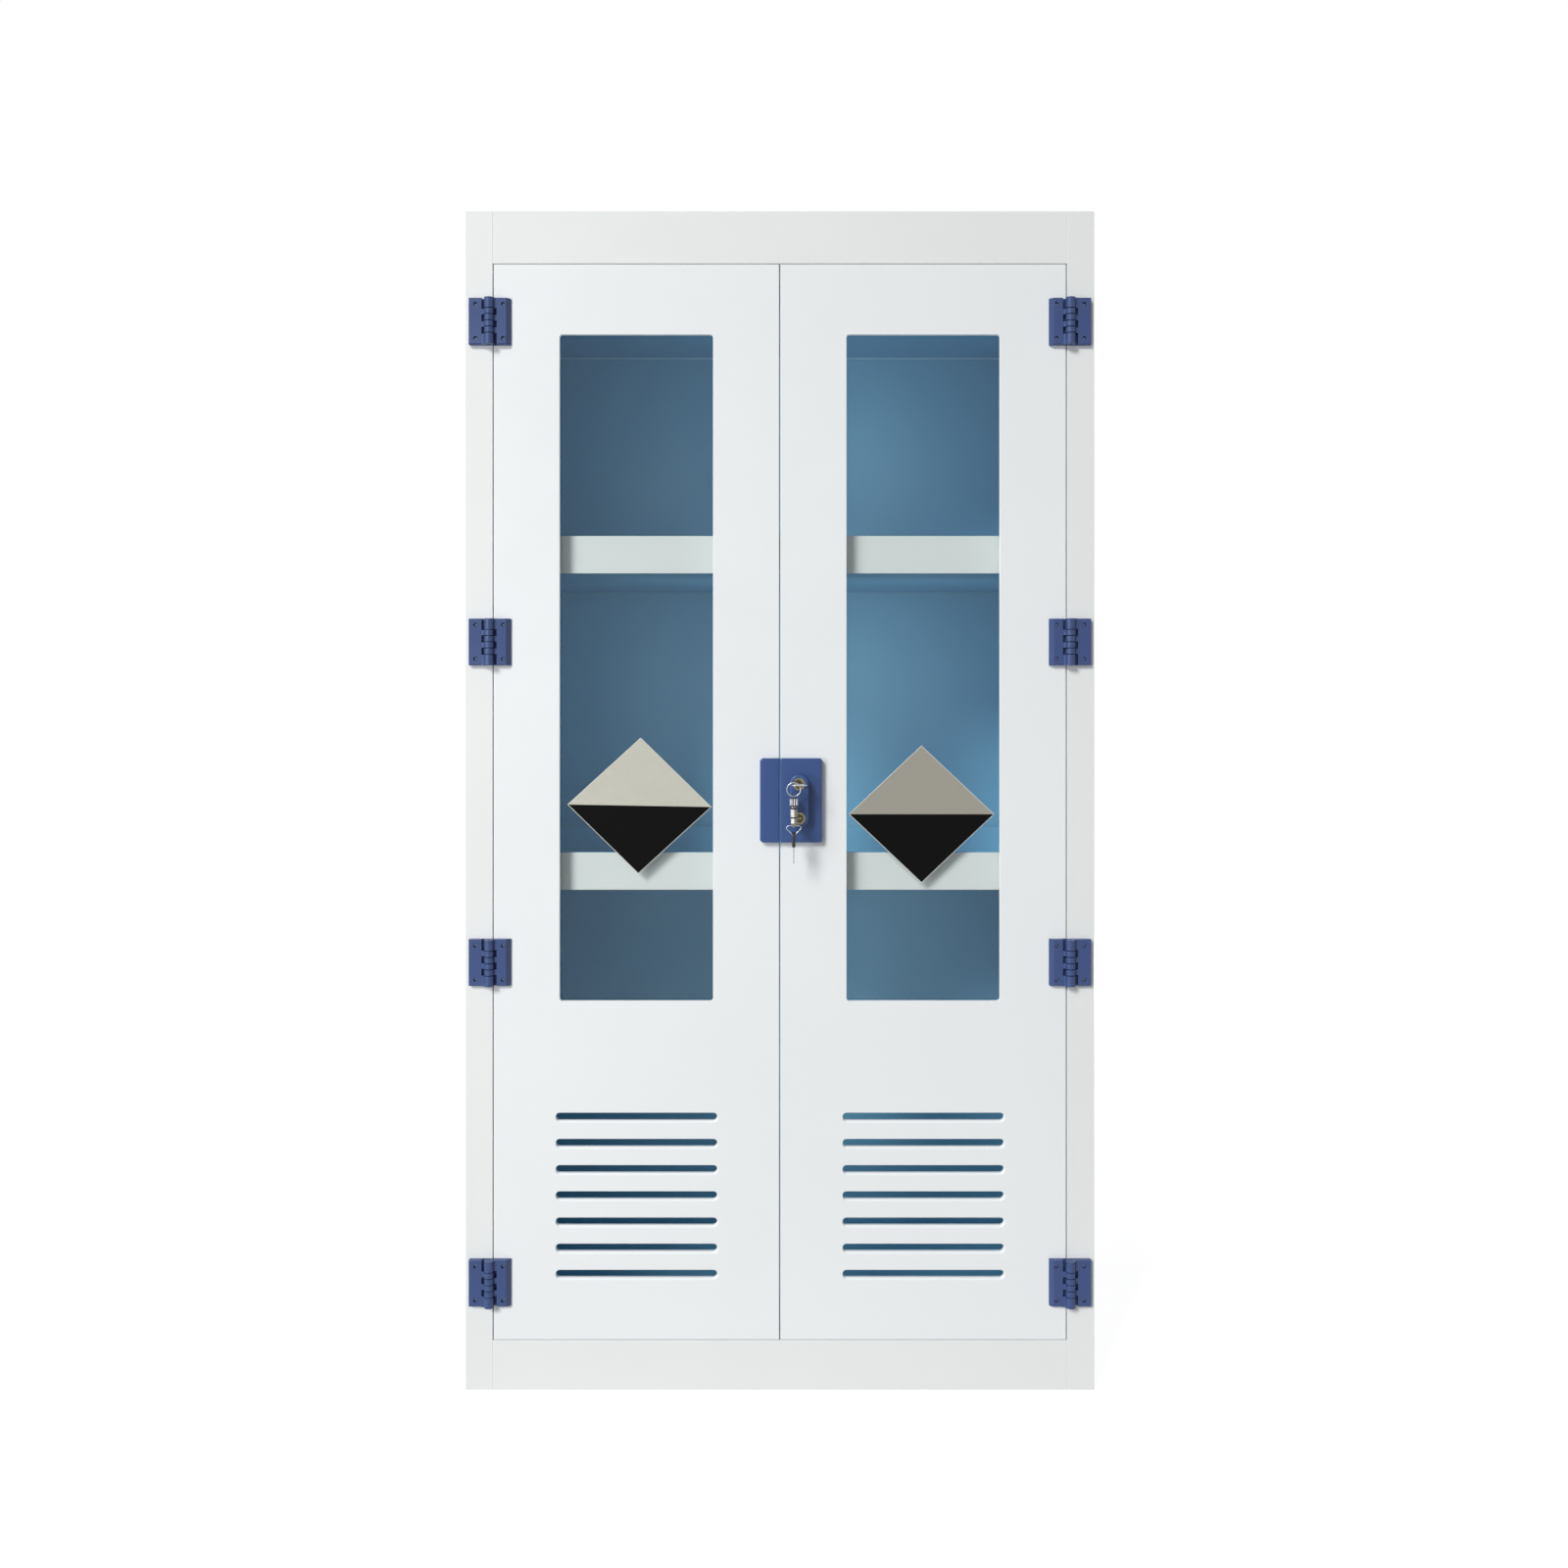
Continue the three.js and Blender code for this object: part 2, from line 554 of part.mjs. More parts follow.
// Heights of the upper and the lower cylinder
function cylinderHeights() {
  return [1, -1].map((end) => LOCK_CENTRE_HEIGHT + BOSS_RAISE + (end * CYLINDER_SPACING) / 2);
}

// A plate on the door face, with its front edges bevelled
function bevelledPlate(outline, base, thickness, bevel, steps) {
  const geometry = new THREE.ExtrudeGeometry(outline, {
    depth: thickness - bevel,
    bevelEnabled: true,
    bevelThickness: bevel,
    bevelSize: bevel,
    bevelOffset: -bevel,
    bevelSegments: 1,
    curveSegments: steps,
  });
  geometry.translate(0, 0, base).applyMatrix4(PLANES.front);
  const reach = [-LOCK_HEIGHT, LOCK_HEIGHT];
  return common(geometry, block(reach, [-base - thickness, -base], reach));
}

function addKeeper(cabinet) {
  const outline = chamferedPlate(KEEPER_WIDTH, LOCK_HEIGHT, KEEPER_CHAMFER);
  const plate = bevelledPlate(outline, 0, LOCK_THICKNESS, LOCK_EDGE_BEVEL, CORNER_STEPS);
  add(cabinet, "keeper_plate", plate, lockBlue, [-LOCK_EDGE, 0, LOCK_CENTRE_HEIGHT]);
}

function lockHousingGeometry() {
  const plateOutline = roundedRectangle(PLATE_WIDTH, LOCK_HEIGHT, PLATE_CORNER);
  const plate = bevelledPlate(plateOutline, 0, LOCK_THICKNESS, LOCK_EDGE_BEVEL, CORNER_STEPS);
  plate.translate(PLATE_WIDTH / 2 - BOSS_FROM_PLATE_EDGE, 0, 0);
  const bossOutline = roundedRectangle(BOSS_WIDTH, BOSS_HEIGHT, BOSS_WIDTH / 2);
  const root = LOCK_THICKNESS - OVERRUN;
  const boss = bevelledPlate(bossOutline, root, BOSS_PROUD + OVERRUN, BOSS_BEVEL, SLOT_STEPS);
  boss.translate(0, 0, BOSS_RAISE);
  const bores = [1, -1].map((end) => {
    const bore = rod("y", CYLINDER_RADIUS + CYLINDER_CLEARANCE, -BOSS_FRONT - OVERRUN, OVERRUN, LOCK_SIDES);
    return bore.translate(0, 0, BOSS_RAISE + (end * CYLINDER_SPACING) / 2);
  });
  return cut(join(plate, boss), ...bores);
}

function cylinderGeometry() {
  const flange = rod("y", CYLINDER_FLANGE_RADIUS, -LOCK_FRONT, -BOSS_FRONT, LOCK_SIDES);
  const body = rod("y", CYLINDER_RADIUS, -LOCK_FRONT, CYLINDER_REAR, LOCK_SIDES);
  const boreRadius = PLUG_RADIUS + RUNNING_GAP;
  const bore = rod("y", boreRadius, -LOCK_FRONT - OVERRUN, CYLINDER_REAR + OVERRUN, LOCK_SIDES);
  return cut(join(flange, body), bore);
}

function plugGeometry() {
  const core = rod("y", PLUG_RADIUS, -LOCK_FRONT, CYLINDER_REAR, LOCK_SIDES);
  const spigot = rod("y", PLUG_SPIGOT_RADIUS, CYLINDER_REAR - OVERRUN, CAM_REAR, LOCK_SIDES);
  const halfWide = KEY_BLADE_WIDTH / 2 + RUNNING_GAP;
  const halfTall = KEY_THICKNESS / 2 + RUNNING_GAP;
  const keywayEnd = KEY_BLADE_LENGTH - LOCK_FRONT + RUNNING_GAP;
  const keyway = block([-halfWide, halfWide], [-LOCK_FRONT - OVERRUN, keywayEnd], [-halfTall, halfTall]);
  return cut(join(core, spigot), keyway);
}

// A cam that points up from its plug, or down
function camGeometry(end) {
  const length = CAM_REACH + CAM_WIDTH / 2;
  const outline = roundedRectangle(CAM_WIDTH, length, CAM_WIDTH / 2);
  const arm = prism("front", outline, -CAM_REAR, CAM_THICKNESS, SLOT_STEPS);
  arm.translate(0, 0, end * (length - CAM_WIDTH) / 2);
  const holeRadius = PLUG_SPIGOT_RADIUS + RUNNING_GAP;
  const hole = rod("y", holeRadius, CAM_FRONT - OVERRUN, CAM_REAR + OVERRUN, LOCK_SIDES);
  return cut(arm, hole);
}

function addLock(cabinet) {
  add(cabinet, "lock_housing", lockHousingGeometry(), lockBlue, [BOSS_CENTRE, 0, LOCK_CENTRE_HEIGHT]);
  const [upper, lower] = cylinderHeights();
  for (const [name, height, end] of [["upper", upper, 1], ["lower", lower, -1]]) {
    const lock = placedGroup(cabinet, BOSS_CENTRE, 0, height);
    add(lock, `${name}_lock_cylinder`, cylinderGeometry(), lockMetal);
    add(lock, `${name}_lock_plug`, plugGeometry(), lockMetal);
    add(lock, `${name}_lock_cam`, camGeometry(end), lockMetal);
  }
}

// Keys

function keyGeometry() {
  const bow = roundedRectangle(BOW_WIDTH, BOW_LENGTH, BOW_CORNER);
  const holeWidth = BOW_WIDTH - 2 * BOW_BAR;
  const holeLength = BOW_LENGTH - 2 * BOW_BAR;
  bow.holes.push(roundedRectangle(holeWidth, holeLength, BOW_CORNER - BOW_BAR / 2, THREE.Path));
  const head = prism("plan", bow, -KEY_THICKNESS / 2, KEY_THICKNESS);
  head.translate(0, -BOW_FRONT + BOW_LENGTH / 2, 0);
  const bladeHalf = KEY_BLADE_WIDTH / 2;
  const bladeFront = -LOCK_FRONT - KEY_NECK - BOW_BAR / 2;
  const bladeThickness = [-KEY_THICKNESS / 2, KEY_THICKNESS / 2];
  const blade = block([-bladeHalf, bladeHalf], [bladeFront, KEY_BLADE_LENGTH - LOCK_FRONT], bladeThickness);
  return join(head, blade);
}

function ringGeometry() {
  const ring = new THREE.TorusGeometry(RING_RADIUS, RING_WIRE_RADIUS, RING_SIDES, RING_STEPS);
  return ring.applyMatrix4(PLANES.front);
}

// Outline of the connector below its eye, from its tail up to its drum
function connectorProfile() {
  const drumTop = -EYE_BORE_RADIUS - RING_WIRE_RADIUS;
  const drumEnd = drumTop - DRUM_LENGTH;
  const collarEnd = drumEnd - COLLAR_LENGTH;
  const sleeveEnd = collarEnd - SLEEVE_LENGTH;
  const neckEnd = sleeveEnd - NECK_LENGTH;
  const tailEnd = neckEnd - TAIL_LENGTH;
  const groove = DRUM_RADIUS - COLLAR_RADIUS;
  const points = [
    [0, tailEnd],
    [TAIL_TIP_RADIUS, tailEnd],
    [TAIL_RADIUS, neckEnd],
    [NECK_RADIUS, neckEnd],
    [NECK_RADIUS, sleeveEnd],
    [SLEEVE_RADIUS, sleeveEnd],
    [SLEEVE_RADIUS, collarEnd],
    [COLLAR_RADIUS, collarEnd],
    [COLLAR_RADIUS, drumEnd],
    [DRUM_RADIUS, drumEnd + groove],
    [DRUM_RADIUS, drumTop - groove],
    [COLLAR_RADIUS, drumTop],
    [0, drumTop],
  ];
  return { points, drumTop, tailEnd };
}

// Wire loop through the connector's tail: a level bar on top, round shoulders and a round low end
function loopPath(barHeight) {
  const pointShares = [
    [0, 0],
    [0.72, 0.05],
    [1, 0.28],
    [0.45, 0.72],
    [0.12, 1],
    [-0.12, 1],
    [-0.45, 0.72],
    [-1, 0.28],
    [-0.72, 0.05],
  ];
  const places = pointShares.map(([acrossShare, downShare]) => (
    new THREE.Vector3(acrossShare * LOOP_WIDTH / 2, 0, barHeight - downShare * LOOP_HEIGHT)
  ));
  return new THREE.CatmullRomCurve3(places, true);
}

function connectorGeometry(profile, barHeight) {
  const lathePoints = profile.points.map(([radius, up]) => new THREE.Vector2(radius, up));
  const body = new THREE.LatheGeometry(lathePoints, LOCK_SIDES / 2).applyMatrix4(STANDS.z);
  const eye = rod("x", EYE_RADIUS, -EYE_THICKNESS / 2, EYE_THICKNESS / 2, LOCK_SIDES / 2);
  const eyeBore = rod("x", EYE_BORE_RADIUS, -EYE_THICKNESS, EYE_THICKNESS, BORE_SIDES);
  const loop = new THREE.TubeGeometry(loopPath(barHeight), WIRE_STEPS, LOOP_WIRE_RADIUS, WIRE_SIDES, true);
  return join(cut(join(body, eye), eyeBore), loop);
}

// Spare key, edge-on to the front: a plastic head with a hole for the loop, and a blade below it
function spareKeyGeometry() {
  const headDrop = SPARE_HEAD_LENGTH / 2 - SPARE_HOLE_RADIUS * 2;
  const outline = roundedRectangle(SPARE_HEAD_WIDTH, SPARE_HEAD_LENGTH, SPARE_HEAD_CORNER);
  const head = prism("side", outline, -SPARE_HEAD_THICKNESS / 2, SPARE_HEAD_THICKNESS);
  head.translate(0, 0, -headDrop);
  const bladeTop = -headDrop - SPARE_HEAD_LENGTH / 2 + OVERRUN;
  const bladeEnd = bladeTop - OVERRUN - SPARE_BLADE_LENGTH;
  const half = SPARE_BLADE_WIDTH / 2;
  const bladeOutline = polygon([
    [-half, bladeTop],
    [half, bladeTop],
    [half, bladeEnd + SPARE_TIP],
    [0, bladeEnd],
    [-half, bladeEnd + SPARE_TIP],
  ]);
  const blade = prism("side", bladeOutline, -SPARE_BLADE_THICKNESS / 2, SPARE_BLADE_THICKNESS);
  const hole = rod("x", SPARE_HOLE_RADIUS, -SPARE_HEAD_THICKNESS, SPARE_HEAD_THICKNESS, BORE_SIDES);
  return cut(join(head, blade), hole);
}

function addKeys(cabinet) {
  const [upper] = cylinderHeights();
  const lock = placedGroup(cabinet, BOSS_CENTRE, 0, upper);
  add(lock, "key", keyGeometry(), keySteel);
  const ring = placedGroup(lock, RING_DRIFT - RING_PIVOT_ASIDE, -RING_OUT, -RING_DROP);
  add(ring, "key_ring", ringGeometry(), keySteel);
  const bunch = placedGroup(ring, 0, 0, -RING_RADIUS);
  const profile = connectorProfile();
  const barHeight = profile.tailEnd + LOOP_BAR_ABOVE_TAIL_TIP;
  add(bunch, "key_connector", connectorGeometry(profile, barHeight), keySteel);
  const loopEnd = barHeight - LOOP_HEIGHT;
  add(bunch, "spare_key", spareKeyGeometry(), keyBlack, [0, 0, loopEnd]);
}

const cabinet = new THREE.Group();
cabinet.position.y = FACE_PLACE;
addCarcass(cabinet);
addShelf(cabinet, "lower", LOWER_TRAY_HEIGHT);
addShelf(cabinet, "upper", UPPER_TRAY_HEIGHT);
addDoor(cabinet, "left", -1, []);
addDoor(cabinet, "right", 1, cylinderHoles());
addHinges(cabinet);
addKeeper(cabinet);
addLock(cabinet);
addKeys(cabinet);

export default cabinet;
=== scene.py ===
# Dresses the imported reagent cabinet: finishes for every part, finely made hinges, lock, keys, signs,
# door panels and small fasteners, and a plain white studio round it. Everything is in metres.

import json
import math

import bmesh
import bpy
from mathutils import Matrix, Vector


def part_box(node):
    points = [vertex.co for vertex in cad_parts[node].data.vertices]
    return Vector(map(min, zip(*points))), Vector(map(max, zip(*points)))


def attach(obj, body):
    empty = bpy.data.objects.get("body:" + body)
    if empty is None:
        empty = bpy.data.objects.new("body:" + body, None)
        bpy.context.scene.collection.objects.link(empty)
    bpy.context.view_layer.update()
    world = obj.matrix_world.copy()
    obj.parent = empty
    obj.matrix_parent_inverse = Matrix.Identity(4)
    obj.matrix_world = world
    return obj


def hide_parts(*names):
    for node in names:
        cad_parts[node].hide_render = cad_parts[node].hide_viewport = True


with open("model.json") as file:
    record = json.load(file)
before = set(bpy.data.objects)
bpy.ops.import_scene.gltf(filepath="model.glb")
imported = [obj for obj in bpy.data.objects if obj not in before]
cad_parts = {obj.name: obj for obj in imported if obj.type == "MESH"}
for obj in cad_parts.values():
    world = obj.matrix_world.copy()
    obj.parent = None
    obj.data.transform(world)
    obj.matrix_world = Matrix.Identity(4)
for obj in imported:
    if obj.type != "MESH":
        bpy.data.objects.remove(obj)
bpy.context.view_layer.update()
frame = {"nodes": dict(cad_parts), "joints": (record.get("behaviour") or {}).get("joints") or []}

MM = 0.001


def in_metres(rows):
    return [tuple(value * MM for value in row) for row in rows]


DOORS = {"left": -1, "right": 1}
SHELVES = ("lower", "upper")
CYLINDERS = ("upper", "lower")
HINGE_COUNT = 4

# Camera, worked out from the photograph's perspective
IMAGE_SIZE = 1600
SENSOR = 36.0
CAMERA_DISTANCE = 2.139
CAMERA_HEIGHT = 1.069
MILLIMETRES_A_PIXEL = 1.49626
CABINET_CENTRE_PIXEL = 795.75
HORIZON_PIXEL = 704

# Light: soft and even, from the front left and above, with one lamp for the back
WHITE = (1.0, 1.0, 1.0, 1.0)
WORLD_COLOUR = (0.93, 0.96, 1.0, 1.0)
WORLD_LIGHT = 0.2
SUN_COLOUR = (1.0, 0.985, 0.965)
SUN_STRENGTH = 2.06
SUN_ANGLE = math.radians(18)
SUN_TRAVEL = (0.62, 1.0, -0.72)
LAMP_TARGET = (0, 0, 1.0)
SIDE_LAMP_PLACE = (-2.2, -2.6, 1.1)
SIDE_LAMP_SIZE = (1.2, 1.7)
SIDE_LAMP_ENERGY = 30
REAR_LAMP_PLACE = (1.8, 3.2, 1.9)
REAR_LAMP_SIZE = (1.6, 1.6)
REAR_LAMP_ENERGY = 62
INNER_LAMP_ENERGIES = (0.34, 0.38, 0.29)
INNER_LAMP_ASIDE = 70 * MM
INNER_LAMP_BEHIND_FACE = 90 * MM
INNER_LAMP_MARGIN = 60 * MM
INNER_LAMP_SIDE_MARGIN = 150 * MM
FLOOR_HALF = 6
FLOOR_DEPTH = 20 * MM
FLOOR_COLOUR = (0.4, 0.4, 0.4, 1.0)
FLOOR_ROUGHNESS = 0.9
FLOOR_GLOW = 0.81

# Textures: scales in features per metre, and the parts of the noise that are used
DRIFT_SCALE = 2.6
GLOSS_SCALE = 14.0
WARP_SCALE = 3.2
CLOUD_SCALE = 160.0
STREAK_SCALE = 420.0
GRAIN_SCALE = 900.0
STREAK_STRETCH = (0.3, 1.0, 1.0)
WANDER_SPAN = (0.32, 0.68)
NOISE_SPAN = (0.3, 0.7)
PLASTIC_IOR = 1.49
SPECULAR = "Specular IOR Level"

# Glass: its tint, how much it mirrors seen straight on, and how fast that grows at a slant
GLASS_TINT = (0.97, 0.995, 1.0, 1.0)
GLASS_ROUGHNESS = 0.015
GLASS_MIRROR = 0.018
GLASS_SLANT_POWER = 5

# Soft edges, and the angles from which a corner counts as sharp
SHEET_EDGE = 0.6 * MM
DOOR_EDGE = 0.9 * MM
MOULD_EDGE = 0.35 * MM
METAL_EDGE = 0.2 * MM
EDGE_STEPS = 2
DOOR_EDGE_STEPS = 3
SHARP_ANGLE = math.radians(34)
WIRE_ANGLE = math.radians(50)
HEAD_ANGLE = math.radians(40)
KEEPER_ANGLE = math.radians(20)
HOUSING_ANGLE = math.radians(25)
FLAT_ANGLE = math.radians(1)
MITRE_LIMIT = 0.3
FACING_SHARE = 0.9

# Fineness of round shapes
ROUND_STEPS = 48
MIDDLE_STEPS = 32
SMALL_STEPS = 24
CORNER_STEPS = 10

# How near points are joined, how far joined pieces overlap and how far a cut overruns
MERGE_DISTANCE = 1e-7
WELD_DISTANCE = 0.01 * MM
OVERLAP = 1 * MM
CUT_REACH = 50 * MM
THROUGH = [(-CUT_REACH, 0), (CUT_REACH, 0)]

# Carcass details. A tray's front lip keeps the tray's own white; its other faces get the inner faces'
# blue-grey painted shade.
TRAY_LIP_DEPTH = 8 * MM
SEAM_RADIUS = 1.9 * MM
SEAM_SIDES = 8
SEAM_STEP = 12 * MM
SEAM_LEAST_STEPS = 8
SEAM_RIPPLE = 0.25 * MM
SEAM_RIPPLE_TURN = 1.9
STOP_IN = 8 * MM
STOP_WIDTH = 18 * MM
STOP_THICKNESS = 6 * MM
STOP_CLEAR = 0.3 * MM

# Door details
WINDOW_CORNER = 4.5 * MM
WINDOW_LAP = 26 * MM
LOUVRE_COUNT = 7
LOUVRE_HALF_LENGTH = 123 * MM
LOUVRE_HALF_HEIGHT = 5.9 * MM
LOUVRE_PITCH = 40 * MM
LOUVRE_LOWEST = 100.3 * MM
LOUVRE_LIP_DROP = 2.6 * MM
LOUVRE_LIP_ASIDE = 1.6 * MM
LOUVRE_LIP_DEPTH = 2.2 * MM
MEETING_TAPER = 0.65 * MM

# Screws: outline and cross as shares of the head's radius and rise, then heads as radius and rise
SCREW_DOME_SHARES = [(0, -1), (1, -1), (1, 0.25), (0.86, 0.72), (0.5, 0.97), (0, 1)]
SCREW_CROSS_SHARES = (0.62, 0.13)
SCREW_CROSS_FLOOR_SHARE = 0.35
HINGE_SCREW_HEAD = (2.5 * MM, 0.8 * MM)
RETAINER_SCREW_HEAD = (3.4 * MM, 1.5 * MM)
CAM_SCREW_HEAD = (4.6 * MM, 1.6 * MM)
SCREW_INSET = 7 * MM
SCREW_ROWS = 6

# Sign plates
SIGN_RIM = 0.9 * MM
SIGN_RELIEF = 0.12 * MM
SIGN_GROWTH = {"left": 1.013, "right": 1.022}
SIGN_DROP = 1.4 * MM

# Hinge details
LEAF_GAP = 4 * MM
DOOR_LEAF_BEVEL = 6 * MM
FRAME_LEAF_BEVEL = 1 * MM
LEAF_TOP_BEVEL = 0.6 * MM
LEAF_FOOT_BEVEL = 1.8 * MM
LEAF_FRONT = 0.5 * MM
LEAF_BASE = 2.5 * MM
LEAF_BASE_GAP = 0.4 * MM
HINGE_EDGE = 0.5 * MM
BARREL_RADIUS = 7.5 * MM
BARREL_STEPS = 40
LEAF_INNER = BARREL_RADIUS + LEAF_GAP
WEB_FILLET = 3 * MM
WEB_FILLET_STEPS = 8
KNUCKLES = 6
END_KNUCKLE = 16 * MM
KNUCKLE_GAP = 1.2 * MM
PIN_BORE = 2.8 * MM
PIN_RADIUS = 2.5 * MM
PIN_TIP_RADIUS = 2.2 * MM
PIN_CHAMFER = 0.4 * MM
PIN_END_GAP = 0.4 * MM
SCREW_ASIDE = 21 * MM
SCREW_UP = 26 * MM
RECESS_RADIUS = 3 * MM
RECESS_DEPTH = 3.4 * MM

# Lock details. The faces are (radius, height) points, from the rim inwards.
PLATE_THICKNESS = 12 * MM
PLATE_BEVEL = 2.2 * MM
PLATE_CORNER = 4 * MM
KEEPER_CHAMFER = 3.5 * MM
BOSS_HALF_WIDTH = 14.5 * MM
BOSS_PROUD = 18 * MM
BOSS_BEVEL = 2.5 * MM
BOSS_STEPS = 20
CYLINDER_HOLE = 8.3 * MM
CYLINDER_RADIUS = 8 * MM
CYLINDER_BORE = 6.1 * MM
CYLINDER_FACE = in_metres([(7.6, 0), (7.2, -0.4), (6.6, -0.4), (6.1, -0.7)])
FLANGE_THICKNESS = 1.6 * MM
FLANGE_EDGE = 0.5 * MM
PLUG_RADIUS = 5.8 * MM
PLUG_FACE = in_metres([(5.8, -0.5), (5.3, -0.1), (0, -0.1)])
SPIGOT_RADIUS = 3 * MM
KEYWAY_HALVES = (4.1 * MM, 1.2 * MM)
KEYWAY_DEPTH = 24 * MM
SHUTTER_DEPTH = 0.9 * MM
CAM_GAP = 0.5 * MM
CAM_BORE = 3.3 * MM
CAM_STEPS = 14
NUT_RADIUS = 11.5 * MM
NUT_BORE = 8.05 * MM
NUT_THICKNESS = 2 * MM
NUT_EDGE = 0.3 * MM

# Key in the lock. Its cuts are (across, along) points, along from the bow's end.
BOW_LENGTH = 25 * MM
BOW_BAR = 3.4 * MM
BOW_CORNER = 7 * MM
BOW_HOLE_CORNER = 4.6 * MM
KEY_EDGE = 0.35 * MM
BLADE_HALF = 3.8 * MM
BLADE_TIP_HALF = 1.2 * MM
BLADE_TIP_SLOPE = 3 * MM
COLLAR_HALVES = (5.2 * MM, 1.6 * MM)
COLLAR_CORNER = 0.6 * MM
KEY_CUTS = in_metres([
    (3.8, 30.5), (3.2, 32), (3.2, 33.5), (2.2, 35),
    (2.9, 37), (2, 39), (3.1, 41.5), (2.4, 44),
])

# Split ring
RING_ROOM = 0.8 * MM
RING_WIRE = 0.72 * MM
RING_TURNS = 1.96
RING_START = 0.6
RING_PITCH = 1.5 * MM
RING_STEPS = 120

# Connector on the key ring: stretches as top, bottom, top radius and bottom radius, below its eye
CONNECTOR_ROUNDS = in_metres([
    (-2.8, -3.9, 5.9, 6.1),
    (-15, -17.1, 5.6, 5.6),
])
CONNECTOR_FACETED = in_metres([
    (-19.2, -31, 5.8, 5.6),
    (-32.6, -40.6, 5.1, 5.1),
    (-40.4, -45.8, 5, 3.2),
])
CONNECTOR_RIM = 0.35 * MM
FACET_COUNT = 6
FACET_TURN = math.radians(-22)
CORE_RADIUS = 4.4 * MM
CORE_END = -33.2 * MM
RIB_COUNT = 9
RIB_PLACE = 5.2 * MM
RIB_RADIUS = 1.25 * MM
RIB_EDGE = RIB_RADIUS / 3
RIB_TOP = -3.4 * MM
RIB_BOTTOM = -13.6 * MM
RIB_STEPS = 12
EYE_RADIUS = 3.6 * MM
EYE_BORE = 1.9 * MM
EYE_HALF = 1 * MM
EYE_EDGE = 0.3 * MM

# Wire loop of the connector, as shares of its half width and its drop
LOOP_WIRE = 0.65 * MM
LOOP_DROP = 14.5 * MM
LOOP_CURVE_STEPS = 8
LOOP_SHARES = [
    (0, 0), (0.72, 0.05), (1, 0.28), (0.45, 0.72), (0.12, 1),
    (-0.12, 1), (-0.45, 0.72), (-1, 0.28), (-0.72, 0.05),
]

# Spare key. Its cuts are (across, up) points, up from the blade's tip.
SPARE_HOLE_HEIGHT = 42.5 * MM
SPARE_BORE = 2 * MM
SPARE_HEAD_HALF = 11 * MM
SPARE_HEAD_CORNER = 5.5 * MM
SPARE_HEAD_DROP = 7 * MM
SPARE_EDGE = 0.8 * MM
SPARE_EASE_SHARE = 0.3
SPARE_BLADE_HALF = 1 * MM
SPARE_BLADE_TOP = -17.5 * MM
SPARE_CUTS = in_metres([
    (-3.8, 3), (0, 0), (1.6, 2.2), (2.6, 4), (2, 6),
    (3, 8.5), (2.2, 11), (3.2, 13.5), (3.8, 15.5),
])


# Small tools

def linear(value):
    share = value / 255
    return share / 12.92 if share <= 0.04045 else ((share + 0.055) / 1.055) ** 2.4


def srgb(red, green, blue):
    return (linear(red), linear(green), linear(blue), 1.0)


def shade(colour, factor):
    return tuple(min(1.0, channel * factor) for channel in colour[:3]) + (1.0,)


def middle(box):
    return (box[0] + box[1]) / 2


# A part's low and high corner, its middle and half its size
def measured(node):
    low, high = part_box(node)
    return low, high, (low + high) / 2, (high - low) / 2


def into_scene(name, data):
    item = bpy.data.objects.new(name, data)
    bpy.context.scene.collection.objects.link(item)
    return item


# Planes for outlines: across, up, and the way a slab rises
PLANES = {
    "front": Matrix(((1, 0, 0), (0, 0, -1), (0, 1, 0))).to_4x4(),
    "back": Matrix(((-1, 0, 0), (0, 0, 1), (0, 1, 0))).to_4x4(),
    "plan": Matrix.Identity(4),
    "side": Matrix(((0, 0, 1), (1, 0, 0), (0, 1, 0))).to_4x4(),
}


# Outlines, as lists of (across, up)

def arc(centre, radius, start, end, steps):
    turn = end - start
    return [
        (centre[0] + radius * math.cos(start + turn * step / steps),
         centre[1] + radius * math.sin(start + turn * step / steps))
        for step in range(steps + 1)
    ]


def circle(radius, steps=ROUND_STEPS, centre=(0, 0)):
    return arc(centre, radius, 0, 2 * math.pi, steps)[:-1]


# A rectangle from half its width and half its height
def rectangle(wide, tall):
    return [(wide, tall), (-wide, tall), (-wide, -tall), (wide, -tall)]


def rounded_rectangle(wide, tall, radius, steps=CORNER_STEPS):
    quarter = math.pi / 2
    points = []
    for corner, centre in enumerate(rectangle(wide - radius, tall - radius)):
        points += arc(centre, radius, corner * quarter, (corner + 1) * quarter, steps)
    return points


# A hexagon with as many points as a circle
def hexagon(radius):
    sixth = math.pi / 3
    points = []
    for across, up in circle(radius):
        share = math.cos(sixth / 2) / math.cos(math.atan2(up, across) % sixth - sixth / 2)
        points.append((across * share, up * share))
    return points


# The outline drawn in by a distance, square to its sides
def drawn_in(outline, distance):
    if not distance:
        return list(outline)
    count = len(outline)
    result = []
    for index, point in enumerate(outline):
        here = Vector(point)
        before = (here - Vector(outline[index - 1])).normalized()
        after = (Vector(outline[(index + 1) % count]) - here).normalized()
        normal = Vector((-before.y - after.y, before.x + after.x)).normalized()
        side = Vector((-after.y, after.x))
        result.append(tuple(here + normal * distance / max(normal.dot(side), MITRE_LIMIT)))
    return result


# Levels of a slab whose both faces have an eased edge
def eased_levels(low, high, edge):
    return [(low, edge), (low + edge, 0), (high - edge, 0), (high, edge)]


# Levels of a plate whose front edge is rounded over
def rounded_over(thickness, radius, base=0.0, steps=5):
    turns = [math.pi / 2 * step / steps for step in range(steps + 1)]
    rim = [(thickness - radius * (1 - math.sin(turn)), radius * (1 - math.cos(turn))) for turn in turns]
    return [(base, 0)] + rim


# Meshes

